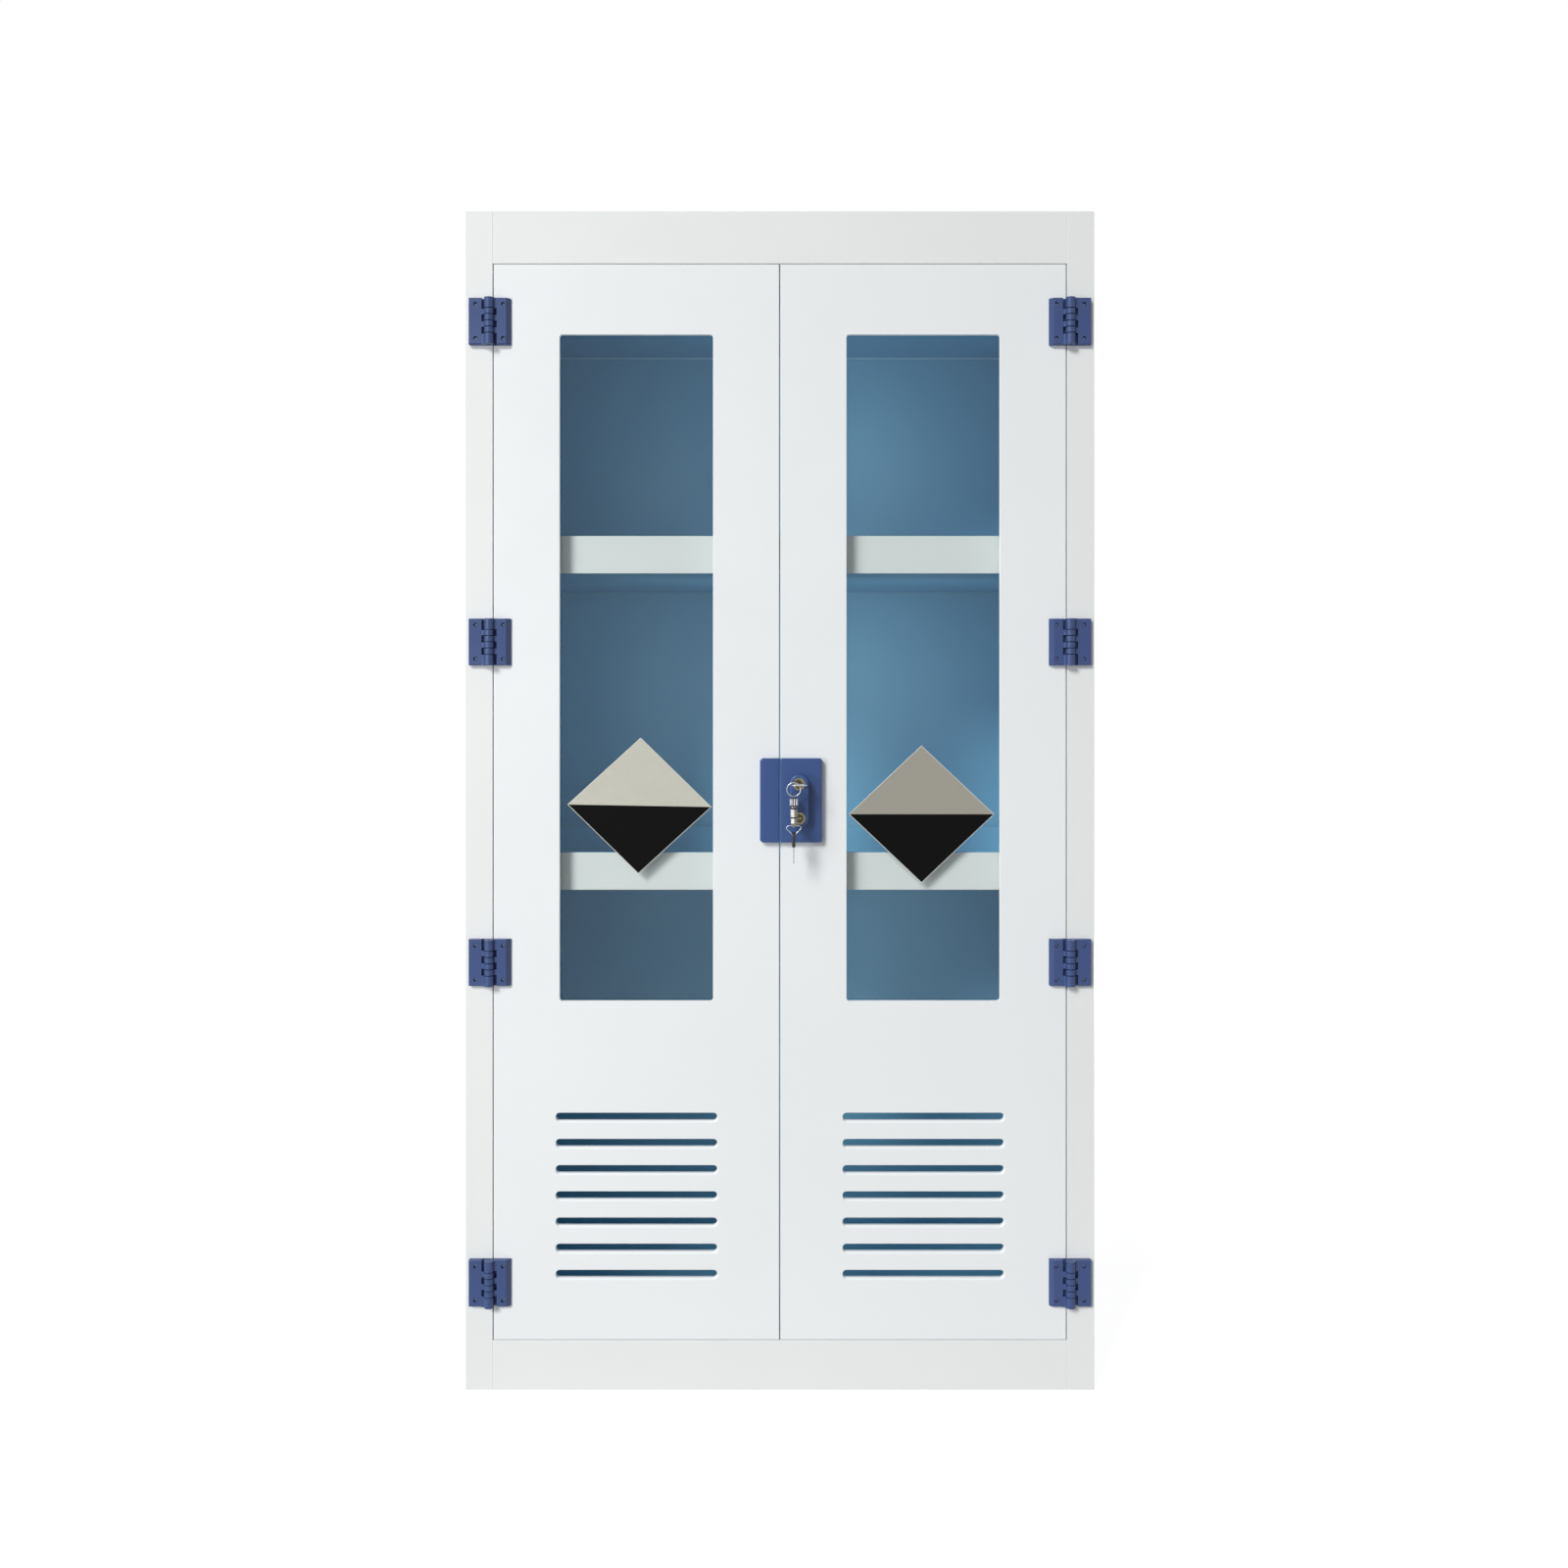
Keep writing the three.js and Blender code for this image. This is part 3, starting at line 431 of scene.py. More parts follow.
def finish_mesh(bm, name, plane="plan", place=(0, 0, 0)):
    bm.transform(Matrix.Translation(place) @ PLANES[plane])
    bmesh.ops.remove_doubles(bm, verts=bm.verts, dist=MERGE_DISTANCE)
    bmesh.ops.recalc_face_normals(bm, faces=bm.faces)
    mesh = bpy.data.meshes.new(name)
    bm.to_mesh(mesh)
    bm.free()
    return mesh


# A ring of points at a height
def ring_at(bm, outline, height):
    return [bm.verts.new((across, up, height)) for across, up in outline]


# The band of faces between two rings with the same number of points
def join_rings(bm, first, second):
    count = len(first)
    for index in range(count):
        after = (index + 1) % count
        bm.faces.new((first[index], first[after], second[after], second[index]))


# A closed solid through outlines at rising heights, all with the same number of points
def lofted(name, levels, plane="front", place=(0, 0, 0)):
    bm = bmesh.new()
    rings = [ring_at(bm, outline, height) for height, outline in levels]
    for lower, upper in zip(rings, rings[1:]):
        join_rings(bm, lower, upper)
    bm.faces.new(list(reversed(rings[0])))
    bm.faces.new(rings[-1])
    return finish_mesh(bm, name, plane, place)


# A closed slab of an outline. Each level is a height and how far the outline is drawn in there.
def slab(name, outline, levels, plane="front", place=(0, 0, 0)):
    return lofted(name, [(height, drawn_in(outline, inset)) for height, inset in levels], plane, place)


# A slab with one hole. Both outlines have the same number of points.
def ring_slab(name, outer, inner, levels, plane="front", place=(0, 0, 0)):
    bm = bmesh.new()
    around = []
    hole = []
    for height, inset in levels:
        around.append(ring_at(bm, drawn_in(outer, inset), height))
        hole.append(ring_at(bm, drawn_in(inner, -inset), height))
    chain = around + list(reversed(hole))
    for first, second in zip(chain, chain[1:] + chain[:1]):
        join_rings(bm, first, second)
    return finish_mesh(bm, name, plane, place)


# A ring turned about the front plane's rising axis, from (radius, height) points that close on themselves
def tube(name, profile):
    bm = bmesh.new()
    rings = [ring_at(bm, circle(radius), height) for radius, height in profile]
    for lower, upper in zip(rings, rings[1:] + rings[:1]):
        join_rings(bm, lower, upper)
    return finish_mesh(bm, name, "front")


# A body turned about the plane's rising axis, from (radius, height) points that start and end on it
def turned(name, profile, steps=ROUND_STEPS, plane="front", place=(0, 0, 0)):
    bm = bmesh.new()
    rings = [
        ring_at(bm, circle(radius, steps) if radius else [(0, 0)], height)
        for radius, height in profile
    ]
    for lower, upper in zip(rings, rings[1:]):
        for index in range(steps):
            after = (index + 1) % steps
            corners = [lower[index % len(lower)], lower[after % len(lower)]]
            corners += [upper[after % len(upper)], upper[index % len(upper)]]
            unique = list(dict.fromkeys(corners))
            if len(unique) > 2:
                bm.faces.new(unique)
    return finish_mesh(bm, name, plane, place)


# A round wire along points; closed joins its ends
def wire(name, points, radius, closed=False, sides=12):
    bm = bmesh.new()
    count = len(points)
    rings = []
    normal = Vector((0, 1, 0))
    for index, point in enumerate(points):
        before = points[index - 1] if index or closed else point
        after = points[(index + 1) % count] if index < count - 1 or closed else point
        along = (Vector(after) - Vector(before)).normalized()
        across = along.cross(normal).normalized()
        rise = across.cross(along).normalized()
        rings.append([
            bm.verts.new(Vector(point) + radius * (math.cos(turn) * across + math.sin(turn) * rise))
            for turn in (2 * math.pi * side / sides for side in range(sides))
        ])
    for first, second in zip(rings, rings[1:]):
        join_rings(bm, first, second)
    if closed:
        join_rings(bm, rings[-1], rings[0])
    else:
        bm.faces.new(rings[0])
        bm.faces.new(list(reversed(rings[-1])))
    return finish_mesh(bm, name)


def block(name, low, high):
    bm = bmesh.new()
    bmesh.ops.create_cube(bm, size=1)
    low = Vector(low)
    high = Vector(high)
    bm.transform(Matrix.Translation((low + high) / 2) @ Matrix.Diagonal((*(high - low), 1)))
    return finish_mesh(bm, name)


# Joins tools to a mesh, or cuts them from it, and returns the result as one mesh
def combined(name, base, joined=(), cut=()):
    scratch = into_scene(name, base)
    helpers = []
    for operation, tools in (("UNION", joined), ("DIFFERENCE", cut)):
        for tool in tools:
            helper = into_scene(name, tool)
            helpers.append(helper)
            modifier = scratch.modifiers.new("shape", "BOOLEAN")
            modifier.operation = operation
            modifier.solver = "EXACT"
            modifier.object = helper
    graph = bpy.context.evaluated_depsgraph_get()
    result = bpy.data.meshes.new_from_object(scratch.evaluated_get(graph))
    result.name = name
    for item in [scratch, *helpers]:
        bpy.data.objects.remove(item)
    return result


# Adds soft edges to a piece
def soften(item, width, steps=EDGE_STEPS, angle=SHARP_ANGLE):
    bevel = item.modifiers.new("soft_edges", "BEVEL")
    bevel.width = width
    bevel.segments = steps
    bevel.limit_method = "ANGLE"
    bevel.angle_limit = angle
    return item


def smooth(mesh, angle=SHARP_ANGLE):
    mesh.shade_smooth()
    mesh.set_sharp_from_angle(angle=angle)
    return mesh


# Places a mesh as a piece of the object
def piece(name, mesh, material, body, replaces=(), place=None, edge=0.0):
    item = into_scene(name, mesh)
    if place is not None:
        item.location = place
    if not mesh.materials:
        mesh.materials.append(material)
    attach(item, body)
    if replaces:
        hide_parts(*replaces)
    if edge:
        soften(item, edge)
    return item


# Materials

# The shader tree of a material or of the world
class Shader:
    def __init__(self, owner, output="OutputMaterial"):
        self.owner = owner
        self.owner.use_nodes = True
        self.tree = self.owner.node_tree
        self.tree.nodes.clear()
        self.output = self.node(output)

    def node(self, kind, **values):
        made = self.tree.nodes.new("ShaderNode" + kind)
        for key, value in values.items():
            if key in made.inputs:
                made.inputs[key].default_value = value
            else:
                setattr(made, key, value)
        return made

    # Joins an output, or a node's first output, to another node's input
    def link(self, source, node, socket):
        output = source.outputs[0] if isinstance(source, bpy.types.Node) else source
        self.tree.links.new(output, node.inputs[socket])

    def finish(self, shader):
        self.link(shader, self.output, "Surface")
        return self.owner

    def surface(self, colour, roughness, **values):
        values["Base Color"] = colour
        return self.node("BsdfPrincipled", Roughness=roughness, **values)

    # A surface with its own colour, gloss and relief
    def dressed(self, surface, tone, gloss, relief):
        for source, socket in ((tone, "Base Color"), (gloss, "Roughness"), (relief, "Normal")):
            self.link(source, surface, socket)
        return self.finish(surface)

    # A value reckoned with fixed numbers
    def reckon(self, operation, value, *numbers):
        made = self.node("Math", operation=operation)
        self.link(value, made, 0)
        for index, number in enumerate(numbers):
            made.inputs[index + 1].default_value = number
        return made

    # One where a ray is seen, itself, mirrored or through glass, and nought where it only lights
    def seen(self):
        rays = self.node("LightPath")
        share = rays.outputs["Is Camera Ray"]
        for kind in ("Is Glossy Ray", "Is Transmission Ray"):
            larger = self.node("Math", operation="MAXIMUM")
            self.link(share, larger, 0)
            self.link(rays.outputs[kind], larger, 1)
            share = larger
        return share

    # Noise in the object's own coordinates, in features per metre
    def noise(self, scale, detail=3.0, stretch=None):
        place = self.node("TexCoord").outputs["Object"]
        if stretch:
            mapping = self.node("Mapping", Scale=stretch)
            self.link(place, mapping, "Vector")
            place = mapping
        made = self.node("TexNoise", Scale=scale, Detail=detail)
        self.link(place, made, "Vector")
        return made

    # A colour that wanders between two shades of itself
    def wander(self, noise, colour, darker, lighter):
        ramp = self.node("ValToRGB")
        for element, position, factor in zip(ramp.color_ramp.elements, WANDER_SPAN, (darker, lighter)):
            element.position = position
            element.color = shade(colour, factor)
        self.link(noise, ramp, "Fac")
        return ramp

    def span(self, noise, low, high):
        limits = {"From Min": NOISE_SPAN[0], "From Max": NOISE_SPAN[1], "To Min": low, "To Max": high}
        made = self.node("MapRange", **limits)
        self.link(noise, made, "Value")
        return made

    def bump(self, height, distance, strength, before=None):
        made = self.node("Bump", Strength=strength, Distance=distance)
        self.link(height, made, "Height")
        if before:
            self.link(before, made, "Normal")
        return made


# Plastic with slow drifts of shade, uneven gloss, a slight warp and a fine moulded grain
def plastic(name, colour, roughness, drift=0.02, warp=0.0, grain_scale=GRAIN_SCALE, grain=0.02 * MM,
            specular=0.5):
    made = Shader(bpy.data.materials.new(name))
    surface = made.surface(colour, roughness, IOR=PLASTIC_IOR, **{SPECULAR: specular})
    tone = made.wander(made.noise(DRIFT_SCALE), colour, 1 - drift, 1 + drift * 0.4)
    gloss = made.span(made.noise(GLOSS_SCALE), roughness - 0.05, roughness + 0.05)
    relief = made.bump(made.noise(grain_scale, 2.0), grain, 0.6)
    if warp:
        relief = made.bump(made.noise(WARP_SCALE, 1.0), warp, 1.0, relief)
    return made.dressed(surface, tone, gloss, relief)


def metal(name, colour, roughness, metallic=1.0, drift=0.14, scratch=0.008 * MM):
    made = Shader(bpy.data.materials.new(name))
    surface = made.surface(colour, roughness, Metallic=metallic)
    tone = made.wander(made.noise(CLOUD_SCALE), colour, 1 - drift, 1 + drift / 3)
    streaks = made.noise(STREAK_SCALE)
    gloss = made.span(streaks, roughness - 0.06, roughness + 0.1)
    return made.dressed(surface, tone, gloss, made.bump(streaks, scratch, 0.5))


def painted(name, colour, roughness, metallic=0.0, specular=0.5):
    made = Shader(bpy.data.materials.new(name))
    surface = made.surface(colour, roughness, Metallic=metallic, **{SPECULAR: specular})
    streaks = made.noise(STREAK_SCALE, stretch=STREAK_STRETCH)
    tone = made.wander(streaks, colour, 0.98, 1.01)
    gloss = made.span(streaks, roughness - 0.05, roughness + 0.06)
    return made.dressed(surface, tone, gloss, made.bump(made.noise(GRAIN_SCALE), 0.01 * MM, 0.4))


# Clear pane: a tinted clear layer with a mirror on top, stronger at a slant
def clear_glass(name):
    made = Shader(bpy.data.materials.new(name))
    through = made.node("BsdfTransparent", Color=GLASS_TINT)
    mirror = made.node("BsdfGlossy", Color=WHITE, Roughness=GLASS_ROUGHNESS)
    slant = made.node("LayerWeight", Blend=0.5)
    steep = made.reckon("POWER", slant.outputs["Facing"], GLASS_SLANT_POWER)
    mix = made.node("MixShader")
    made.link(made.reckon("MULTIPLY_ADD", steep, 1 - GLASS_MIRROR, GLASS_MIRROR), mix, "Fac")
    made.link(through, mix, 1)
    made.link(mirror, mix, 2)
    return made.finish(mix)


BODY_WHITE = plastic("body_white", srgb(238, 241, 241), 0.38, drift=0.015, warp=0.5 * MM)
DOOR_WHITE = plastic("door_white", srgb(242, 246, 248), 0.36, drift=0.018, warp=0.7 * MM)
TRAY_WHITE = plastic("tray_white", srgb(224, 224, 220), 0.4, warp=0.3 * MM)
# Inner faces: a blue-grey that is painted shade of the dim inside, with a blue tint
INNER_SHADE_BLUE = plastic("lining_blue", srgb(122, 183, 212), 0.42, drift=0.04, warp=0.5 * MM)
# Weld seams: the inner faces' painted shade, lighter as a painted highlight along each bead
SEAM_SHADE_AND_HIGHLIGHT_BLUE = plastic("seam_shade_and_highlight_blue", srgb(176, 214, 232), 0.4, drift=0.04)
MOULDED = {"grain_scale": 1400.0, "specular": 0.42}
HINGE_BLUE = plastic("hinge_blue", srgb(56, 77, 127), 0.32, drift=0.08, grain=0.03 * MM, **MOULDED)
LOCK_BLUE = plastic("lock_blue", srgb(52, 80, 134), 0.33, drift=0.06, grain=0.025 * MM, **MOULDED)
# Black plastic: the spare key's own head, and the connector's core as painted shade in its grooves
KEY_BLACK_AND_GROOVE_SHADE = plastic("key_black", srgb(24, 25, 30), 0.4, drift=0.05, grain_scale=1600.0, grain=0.03 * MM)
GLASS = clear_glass("clear_glass")
# The right sign's grey is the left sign's grey darkened as painted shade, for how light falls on it
SIGN_GREYS = {
    "left": painted("sign_grey", srgb(192, 191, 179), 0.34, metallic=0.35),
    "right": painted("sign_grey_painted_shade", srgb(155, 152, 142), 0.34, metallic=0.35),
}
SIGN_BLACK = painted("sign_black", srgb(12, 12, 12), 0.5, specular=0.05)
SIGN_LIGHT = painted("sign_light", srgb(214, 213, 206), 0.34, metallic=0.2)
LOCK_METAL = metal("lock_metal", srgb(146, 139, 114), 0.26, metallic=0.95, drift=0.3)
PLUG_METAL = metal("plug_metal", srgb(86, 80, 60), 0.3, metallic=0.9, drift=0.3)
KEY_STEEL = metal("key_steel", srgb(184, 187, 192), 0.28, drift=0.15)
# Connector steel: darker than the key's, a painted reflection of dark surroundings in the chrome
CLIP_STEEL_DARK_REFLECTION = metal("clip_steel", srgb(128, 128, 124), 0.2, drift=0.2)
SCREW_STEEL = metal("screw_steel", srgb(150, 153, 158), 0.3, metallic=0.9)
# Hinge screws: a darker, bluer steel, partly their own dull look and partly painted shade of their recesses
HINGE_SCREW_SHADED_STEEL = metal("hinge_screw", srgb(96, 104, 124), 0.28, metallic=0.9)


# CAD parts that stay: finishes and soft edges

def dress(node, material, edge=SHEET_EDGE):
    item = frame["nodes"][node]
    item.data.materials.clear()
    item.data.materials.append(material)
    weld = item.modifiers.new("weld", "WELD")
    weld.merge_threshold = WELD_DISTANCE
    flat = item.modifiers.new("flat", "DECIMATE")
    flat.decimate_type = "DISSOLVE"
    flat.angle_limit = FLAT_ANGLE
    return soften(item, edge)


# Gives the faces that look along a direction another finish
def line(item, direction, material):
    item.data.materials.append(material)
    wanted = Vector(direction)
    for polygon in item.data.polygons:
        if polygon.normal.dot(wanted) > FACING_SHARE:
            polygon.material_index = 1


# Gives a tray the inner faces' blue-grey painted shade, but for the outer face and rim of its front lip,
# which keep the tray's white
def shade_tray_inside(tray):
    line(tray, (0, 1, 0), INNER_SHADE_BLUE)
    face = min(vertex.co.y for vertex in tray.data.vertices)
    for polygon in tray.data.polygons:
        if polygon.center.y > face + TRAY_LIP_DEPTH:
            polygon.material_index = 1


# White outside; the inner faces of the back, sides, floor and ceiling get the blue-grey painted shade
def dress_carcass():
    for node in ("left_front_post", "right_front_post", "top_rail", "bottom_rail", "top_panel"):
        dress(node, BODY_WHITE)
    line(dress("back_panel", BODY_WHITE), (0, -1, 0), INNER_SHADE_BLUE)
    for node in ("floor_panel", "ceiling_panel"):
        dress(node, INNER_SHADE_BLUE)
    for shelf in SHELVES:
        shade_tray_inside(dress(f"{shelf}_shelf_tray", TRAY_WHITE))
    for side, sign in DOORS.items():
        line(dress(f"{side}_side_panel", BODY_WHITE), (-sign, 0, 0), INNER_SHADE_BLUE)
        for shelf in SHELVES:
            dress(f"{shelf}_bearer_{side}", TRAY_WHITE)
        dress(f"{side}_window_glass", GLASS, METAL_EDGE)
        dress(f"{side}_glass_retainer", DOOR_WHITE)


# A welded seam along a line between two panels, with the slow ripple of a hand-laid rod
def weld_seam(name, start, end):
    start = Vector(start)
    end = Vector(end)
    length = (end - start).length
    steps = max(SEAM_LEAST_STEPS, int(length / SEAM_STEP))
    upright = abs((end - start).z) >= length / 2
    ripple = Vector((1, 0, 0) if upright else (0, 0, 1)) * SEAM_RIPPLE
    points = [
        start.lerp(end, step / steps) + ripple * math.sin(step * SEAM_RIPPLE_TURN)
        for step in range(steps + 1)
    ]
    mesh = smooth(wire(name, points, SEAM_RADIUS, sides=SEAM_SIDES))
    # Its light blue is painted shade, lifted as a painted highlight along the bead
    piece(name, mesh, SEAM_SHADE_AND_HIGHLIGHT_BLUE, "carcass")


def add_weld_seams():
    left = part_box("left_side_panel")[1].x
    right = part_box("right_side_panel")[0].x
    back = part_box("back_panel")[0].y
    floor_low, floor_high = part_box("floor_panel")
    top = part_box("ceiling_panel")[0].z
    bottom = floor_high.z
    front = floor_low.y
    weld_seam("seam_floor_back", (left, back, bottom), (right, back, bottom))
    weld_seam("seam_ceiling_back", (left, back, top), (right, back, top))
    for side, x in (("left", left), ("right", right)):
        weld_seam(f"seam_{side}_back", (x, back, bottom), (x, back, top))
        weld_seam(f"seam_{side}_floor", (x, front, bottom), (x, back, bottom))
        weld_seam(f"seam_{side}_ceiling", (x, front, top), (x, back, top))
        for shelf in SHELVES:
            low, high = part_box(f"{shelf}_bearer_{side}")
            weld_seam(f"seam_{shelf}_bearer_{side}", (x, low.y, low.z), (x, high.y, low.z))


# Strips for the doors to shut against: on the ceiling panel's front, below the floor panel's front and
# behind each hinge edge
def add_stop_strips():
    post_low, post_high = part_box("right_front_post")
    floor_low, floor_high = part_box("floor_panel")
    ceiling_low, ceiling_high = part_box("ceiling_panel")
    upper_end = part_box("top_rail")[0].z + STOP_IN
    lower_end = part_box("bottom_rail")[1].z - STOP_IN
    strips = [
        ("top", ceiling_low.x, ceiling_high.x, ceiling_low.y, ceiling_high.z, upper_end),
        ("bottom", floor_low.x, floor_high.x, floor_low.y, lower_end, floor_low.z),
    ]
    front = post_high.y + STOP_CLEAR
    for side, sign in DOORS.items():
        ends = sorted(sign * (post_low.x - STOP_IN + across) for across in (0, STOP_WIDTH))
        strips.append((side, *ends, front, floor_high.z + STOP_CLEAR, ceiling_low.z - STOP_CLEAR))
    for side, left, right, face, bottom, top in strips:
        name = f"{side}_stop_strip"
        mesh = block(name, (left, face, bottom), (right, face + STOP_THICKNESS, top))
        piece(name, mesh, BODY_WHITE, "carcass", edge=SHEET_EDGE)


# Doors

# The louvre slot's outline at the door's face, where its lower lip and right end are eased
def eased_slot(slot):
    straight = LOUVRE_HALF_LENGTH - LOUVRE_HALF_HEIGHT
    aside = LOUVRE_LIP_ASIDE / LOUVRE_HALF_HEIGHT
    drop = LOUVRE_LIP_DROP / LOUVRE_HALF_HEIGHT
    return [(across + max(across - straight, 0) * aside, up + min(up, 0) * drop) for across, up in slot]


# The door's blank, a little wider at its back where the doors meet
def door_blank(half, centre, sign):
    face = rectangle(half.x, half.z)
    back = [(across - sign * MEETING_TAPER if across * sign < 0 else across, up) for across, up in face]
    return lofted("door", [(-half.y, back), (half.y, face)], place=centre)


def door_mesh(side, sign):
    low, high, centre, half = measured(f"{side}_door_panel")
    window, window_half = measured(f"{side}_glass_retainer")[2:]
    opening = rounded_rectangle(window_half.x - WINDOW_LAP, window_half.z - WINDOW_LAP, WINDOW_CORNER, 8)
    cuts = [slab("cut", opening, THROUGH, place=(window.x, centre.y, window.z))]
    face = half.y
    slot = rounded_rectangle(LOUVRE_HALF_LENGTH, LOUVRE_HALF_HEIGHT, LOUVRE_HALF_HEIGHT)
    eased = eased_slot(slot)
    levels = [(-CUT_REACH, slot), (face - LOUVRE_LIP_DEPTH, slot), (face, eased), (CUT_REACH, eased)]
    for index in range(LOUVRE_COUNT):
        height = low.z + LOUVRE_LOWEST + index * LOUVRE_PITCH
        cuts.append(lofted("cut", levels, place=(centre.x, centre.y, height)))
    if side == "right":
        for name in CYLINDERS:
            place = middle(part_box(f"{name}_lock_cylinder"))
            cuts.append(slab("cut", circle(CYLINDER_HOLE), THROUGH, place=(place.x, centre.y, place.z)))
    return combined(f"{side}_door_mesh", door_blank(half, centre, sign), cut=cuts)


def add_doors():
    for side, sign in DOORS.items():
        panel = piece(f"{side}_door_sheet", door_mesh(side, sign), DOOR_WHITE, f"{side}_door",
                      [f"{side}_door_panel"])
        soften(panel, DOOR_EDGE, DOOR_EDGE_STEPS)


# Round-headed screw with a cross recess, rising from the plane of its seat
def screw_mesh(name, radius, rise, plane):
    dome = [(radius * across, rise * up) for across, up in SCREW_DOME_SHARES]
    arm, thin = (radius * share for share in SCREW_CROSS_SHARES)
    levels = [(rise * SCREW_CROSS_FLOOR_SHARE, 0), (CUT_REACH, 0)]
    bars = [slab("bar", rectangle(*halves), levels, plane) for halves in ((arm, thin), (thin, arm))]
    return smooth(combined(name, turned(name, dome, SMALL_STEPS, plane), cut=bars))


def add_retainer_screws():
    mesh = screw_mesh("retainer_screw", *RETAINER_SCREW_HEAD, "back")
    for side in DOORS:
        low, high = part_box(f"{side}_glass_retainer")
        bottom = low.z + SCREW_INSET
        top = high.z - SCREW_INSET
        rows = [bottom + (top - bottom) * row / (SCREW_ROWS - 1) for row in range(SCREW_ROWS)]
        places = [(x, z) for z in rows for x in (low.x + SCREW_INSET, high.x - SCREW_INSET)]
        places += [((low.x + high.x) / 2, z) for z in (bottom, top)]
        for index, (x, z) in enumerate(places):
            piece(f"{side}_retainer_screw_{index + 1}", mesh, SCREW_STEEL, f"{side}_door",
                  place=(x, high.y, z))


# Signs: a bright plate with a grey upper and a black lower half laid on it

# The middle of a sign's back, its half width and half height, its turn and its thickness
def sign_measures(side):
    low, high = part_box(f"{side}_sign_plate")
    vertices = frame["nodes"][f"{side}_sign_plate"].data.vertices
    corners = sorted({(round(vertex.co.x, 6), round(vertex.co.z, 6)) for vertex in vertices})
    left = corners[0]
    right = corners[-1]
    rising = sorted(corners, key=lambda corner: corner[1])
    turn = math.atan2(right[1] - left[1], right[0] - left[0])
    centre = Vector(((left[0] + right[0]) / 2, high.y, (left[1] + right[1]) / 2))
    return centre, math.dist(left, right) / 2, math.dist(rising[0], rising[-1]) / 2, turn, high.y - low.y


# Half of a diamond, above or below its middle, drawn in from the two slanting sides
def half_diamond(wide, tall, way):
    slant = math.hypot(wide, tall)
    across = wide - SIGN_RIM * slant / tall
    up = tall - SIGN_RIM * slant / wide
    return [(way * across, 0), (0, way * up), (-way * across, 0)]


def add_signs():
    for side in DOORS:
        centre, wide, tall, turn, thick = sign_measures(side)
        centre.z -= SIGN_DROP
        wide *= SIGN_GROWTH[side]
        tall *= SIGN_GROWTH[side]
        outline = [(wide, 0), (0, tall), (-wide, 0), (0, -tall)]
        bed = thick - SIGN_RELIEF * 2
        plate = slab("sign", outline, [(0, 0), (bed, 0), (thick - SIGN_RELIEF, SIGN_RELIEF)])
        layer = [(bed, 0), (thick, 0)]
        grey = slab("grey", half_diamond(wide, tall, 1), layer)
        black = slab("black", half_diamond(wide, tall, -1), layer)
        # The right sign's grey half carries that painted shade
        for name, mesh, finish, gone in (
            ("plate", plate, SIGN_LIGHT, [f"{side}_sign_plate"]),
            ("grey_half", grey, SIGN_GREYS[side], []),
            ("black_half", black, SIGN_BLACK, []),
        ):
            mesh.transform(Matrix.Rotation(-turn, 4, "Y"))
            piece(f"{side}_sign_{name}", mesh, finish, f"{side}_door", gone, centre)


# Hinges

# Height limits of a knuckle, counted from the top
def knuckle_limits(index, half):
    inner = (2 * half - 2 * END_KNUCKLE - (KNUCKLES - 1) * KNUCKLE_GAP) / (KNUCKLES - 2)
    if index == 0:
        return half - END_KNUCKLE, half
    top = half - END_KNUCKLE - KNUCKLE_GAP - (index - 1) * (inner + KNUCKLE_GAP)
    low = -half if index == KNUCKLES - 1 else top - inner
    return low, top


# Section of a knuckle with its web to the leaf, seen from above: x to the leaf, y to the door face
def knuckle_section():
    fillet_up = LEAF_FRONT - WEB_FILLET
    fillet_across = math.sqrt((BARREL_RADIUS + WEB_FILLET) ** 2 - fillet_up ** 2)
    touch = math.atan2(fillet_up, fillet_across)
    points = arc((0, 0), BARREL_RADIUS, math.pi / 2, 2 * math.pi + touch, BARREL_STEPS)
    fillet = (fillet_across, fillet_up)
    points += arc(fillet, WEB_FILLET, math.pi + touch, math.pi / 2, WEB_FILLET_STEPS)[1:]
    return points + [(LEAF_INNER + OVERLAP, LEAF_FRONT), (LEAF_INNER + OVERLAP, BARREL_RADIUS)]


def leaf_mesh(name, first, bevel, outer, back, half):
    front = LEAF_FRONT
    section = [(LEAF_INNER, front), (outer - bevel, front), (outer, front + bevel), (outer, back),
               (LEAF_BASE_GAP, back), (LEAF_BASE_GAP, back - LEAF_BASE), (LEAF_INNER, back - LEAF_BASE)]
    plate = slab(name, section, [(-half, 0), (half, 0)], "plan")
    ends = []
    for sign, ease in ((1, LEAF_TOP_BEVEL), (-1, LEAF_FOOT_BEVEL)):
        wedge = [(front - ease, sign * (half + ease)), (front - ease, sign * (half - 2 * ease)),
                 (front + 2 * ease, sign * (half + ease))]
        ends.append(slab("wedge", wedge, [(LEAF_INNER / 2, 0), (outer * 2, 0)], "side"))
    plate = combined(name, plate, cut=ends)
    outline = knuckle_section()
    knuckles = []
    for index in range(first, KNUCKLES, 2):
        low, high = knuckle_limits(index, half)
        knuckles.append(slab("knuckle", outline, [(low, 0), (high, 0)], "plan"))
    recess = [(0, -RECESS_DEPTH), (RECESS_RADIUS, -RECESS_DEPTH), (RECESS_RADIUS, OVERLAP), (0, OVERLAP)]
    cuts = [slab("bore", circle(PIN_BORE, SMALL_STEPS), THROUGH, "plan")]
    for up in (SCREW_UP, -SCREW_UP):
        cuts.append(turned("recess", recess, MIDDLE_STEPS, "front", (SCREW_ASIDE, front, up)))
    return smooth(combined(name, plate, knuckles, cuts))


def mirrored(mesh, name):
    copy = mesh.copy()
    copy.name = name
    copy.transform(Matrix.Scale(-1, 4, (1, 0, 0)))
    copy.flip_normals()
    return smooth(copy)


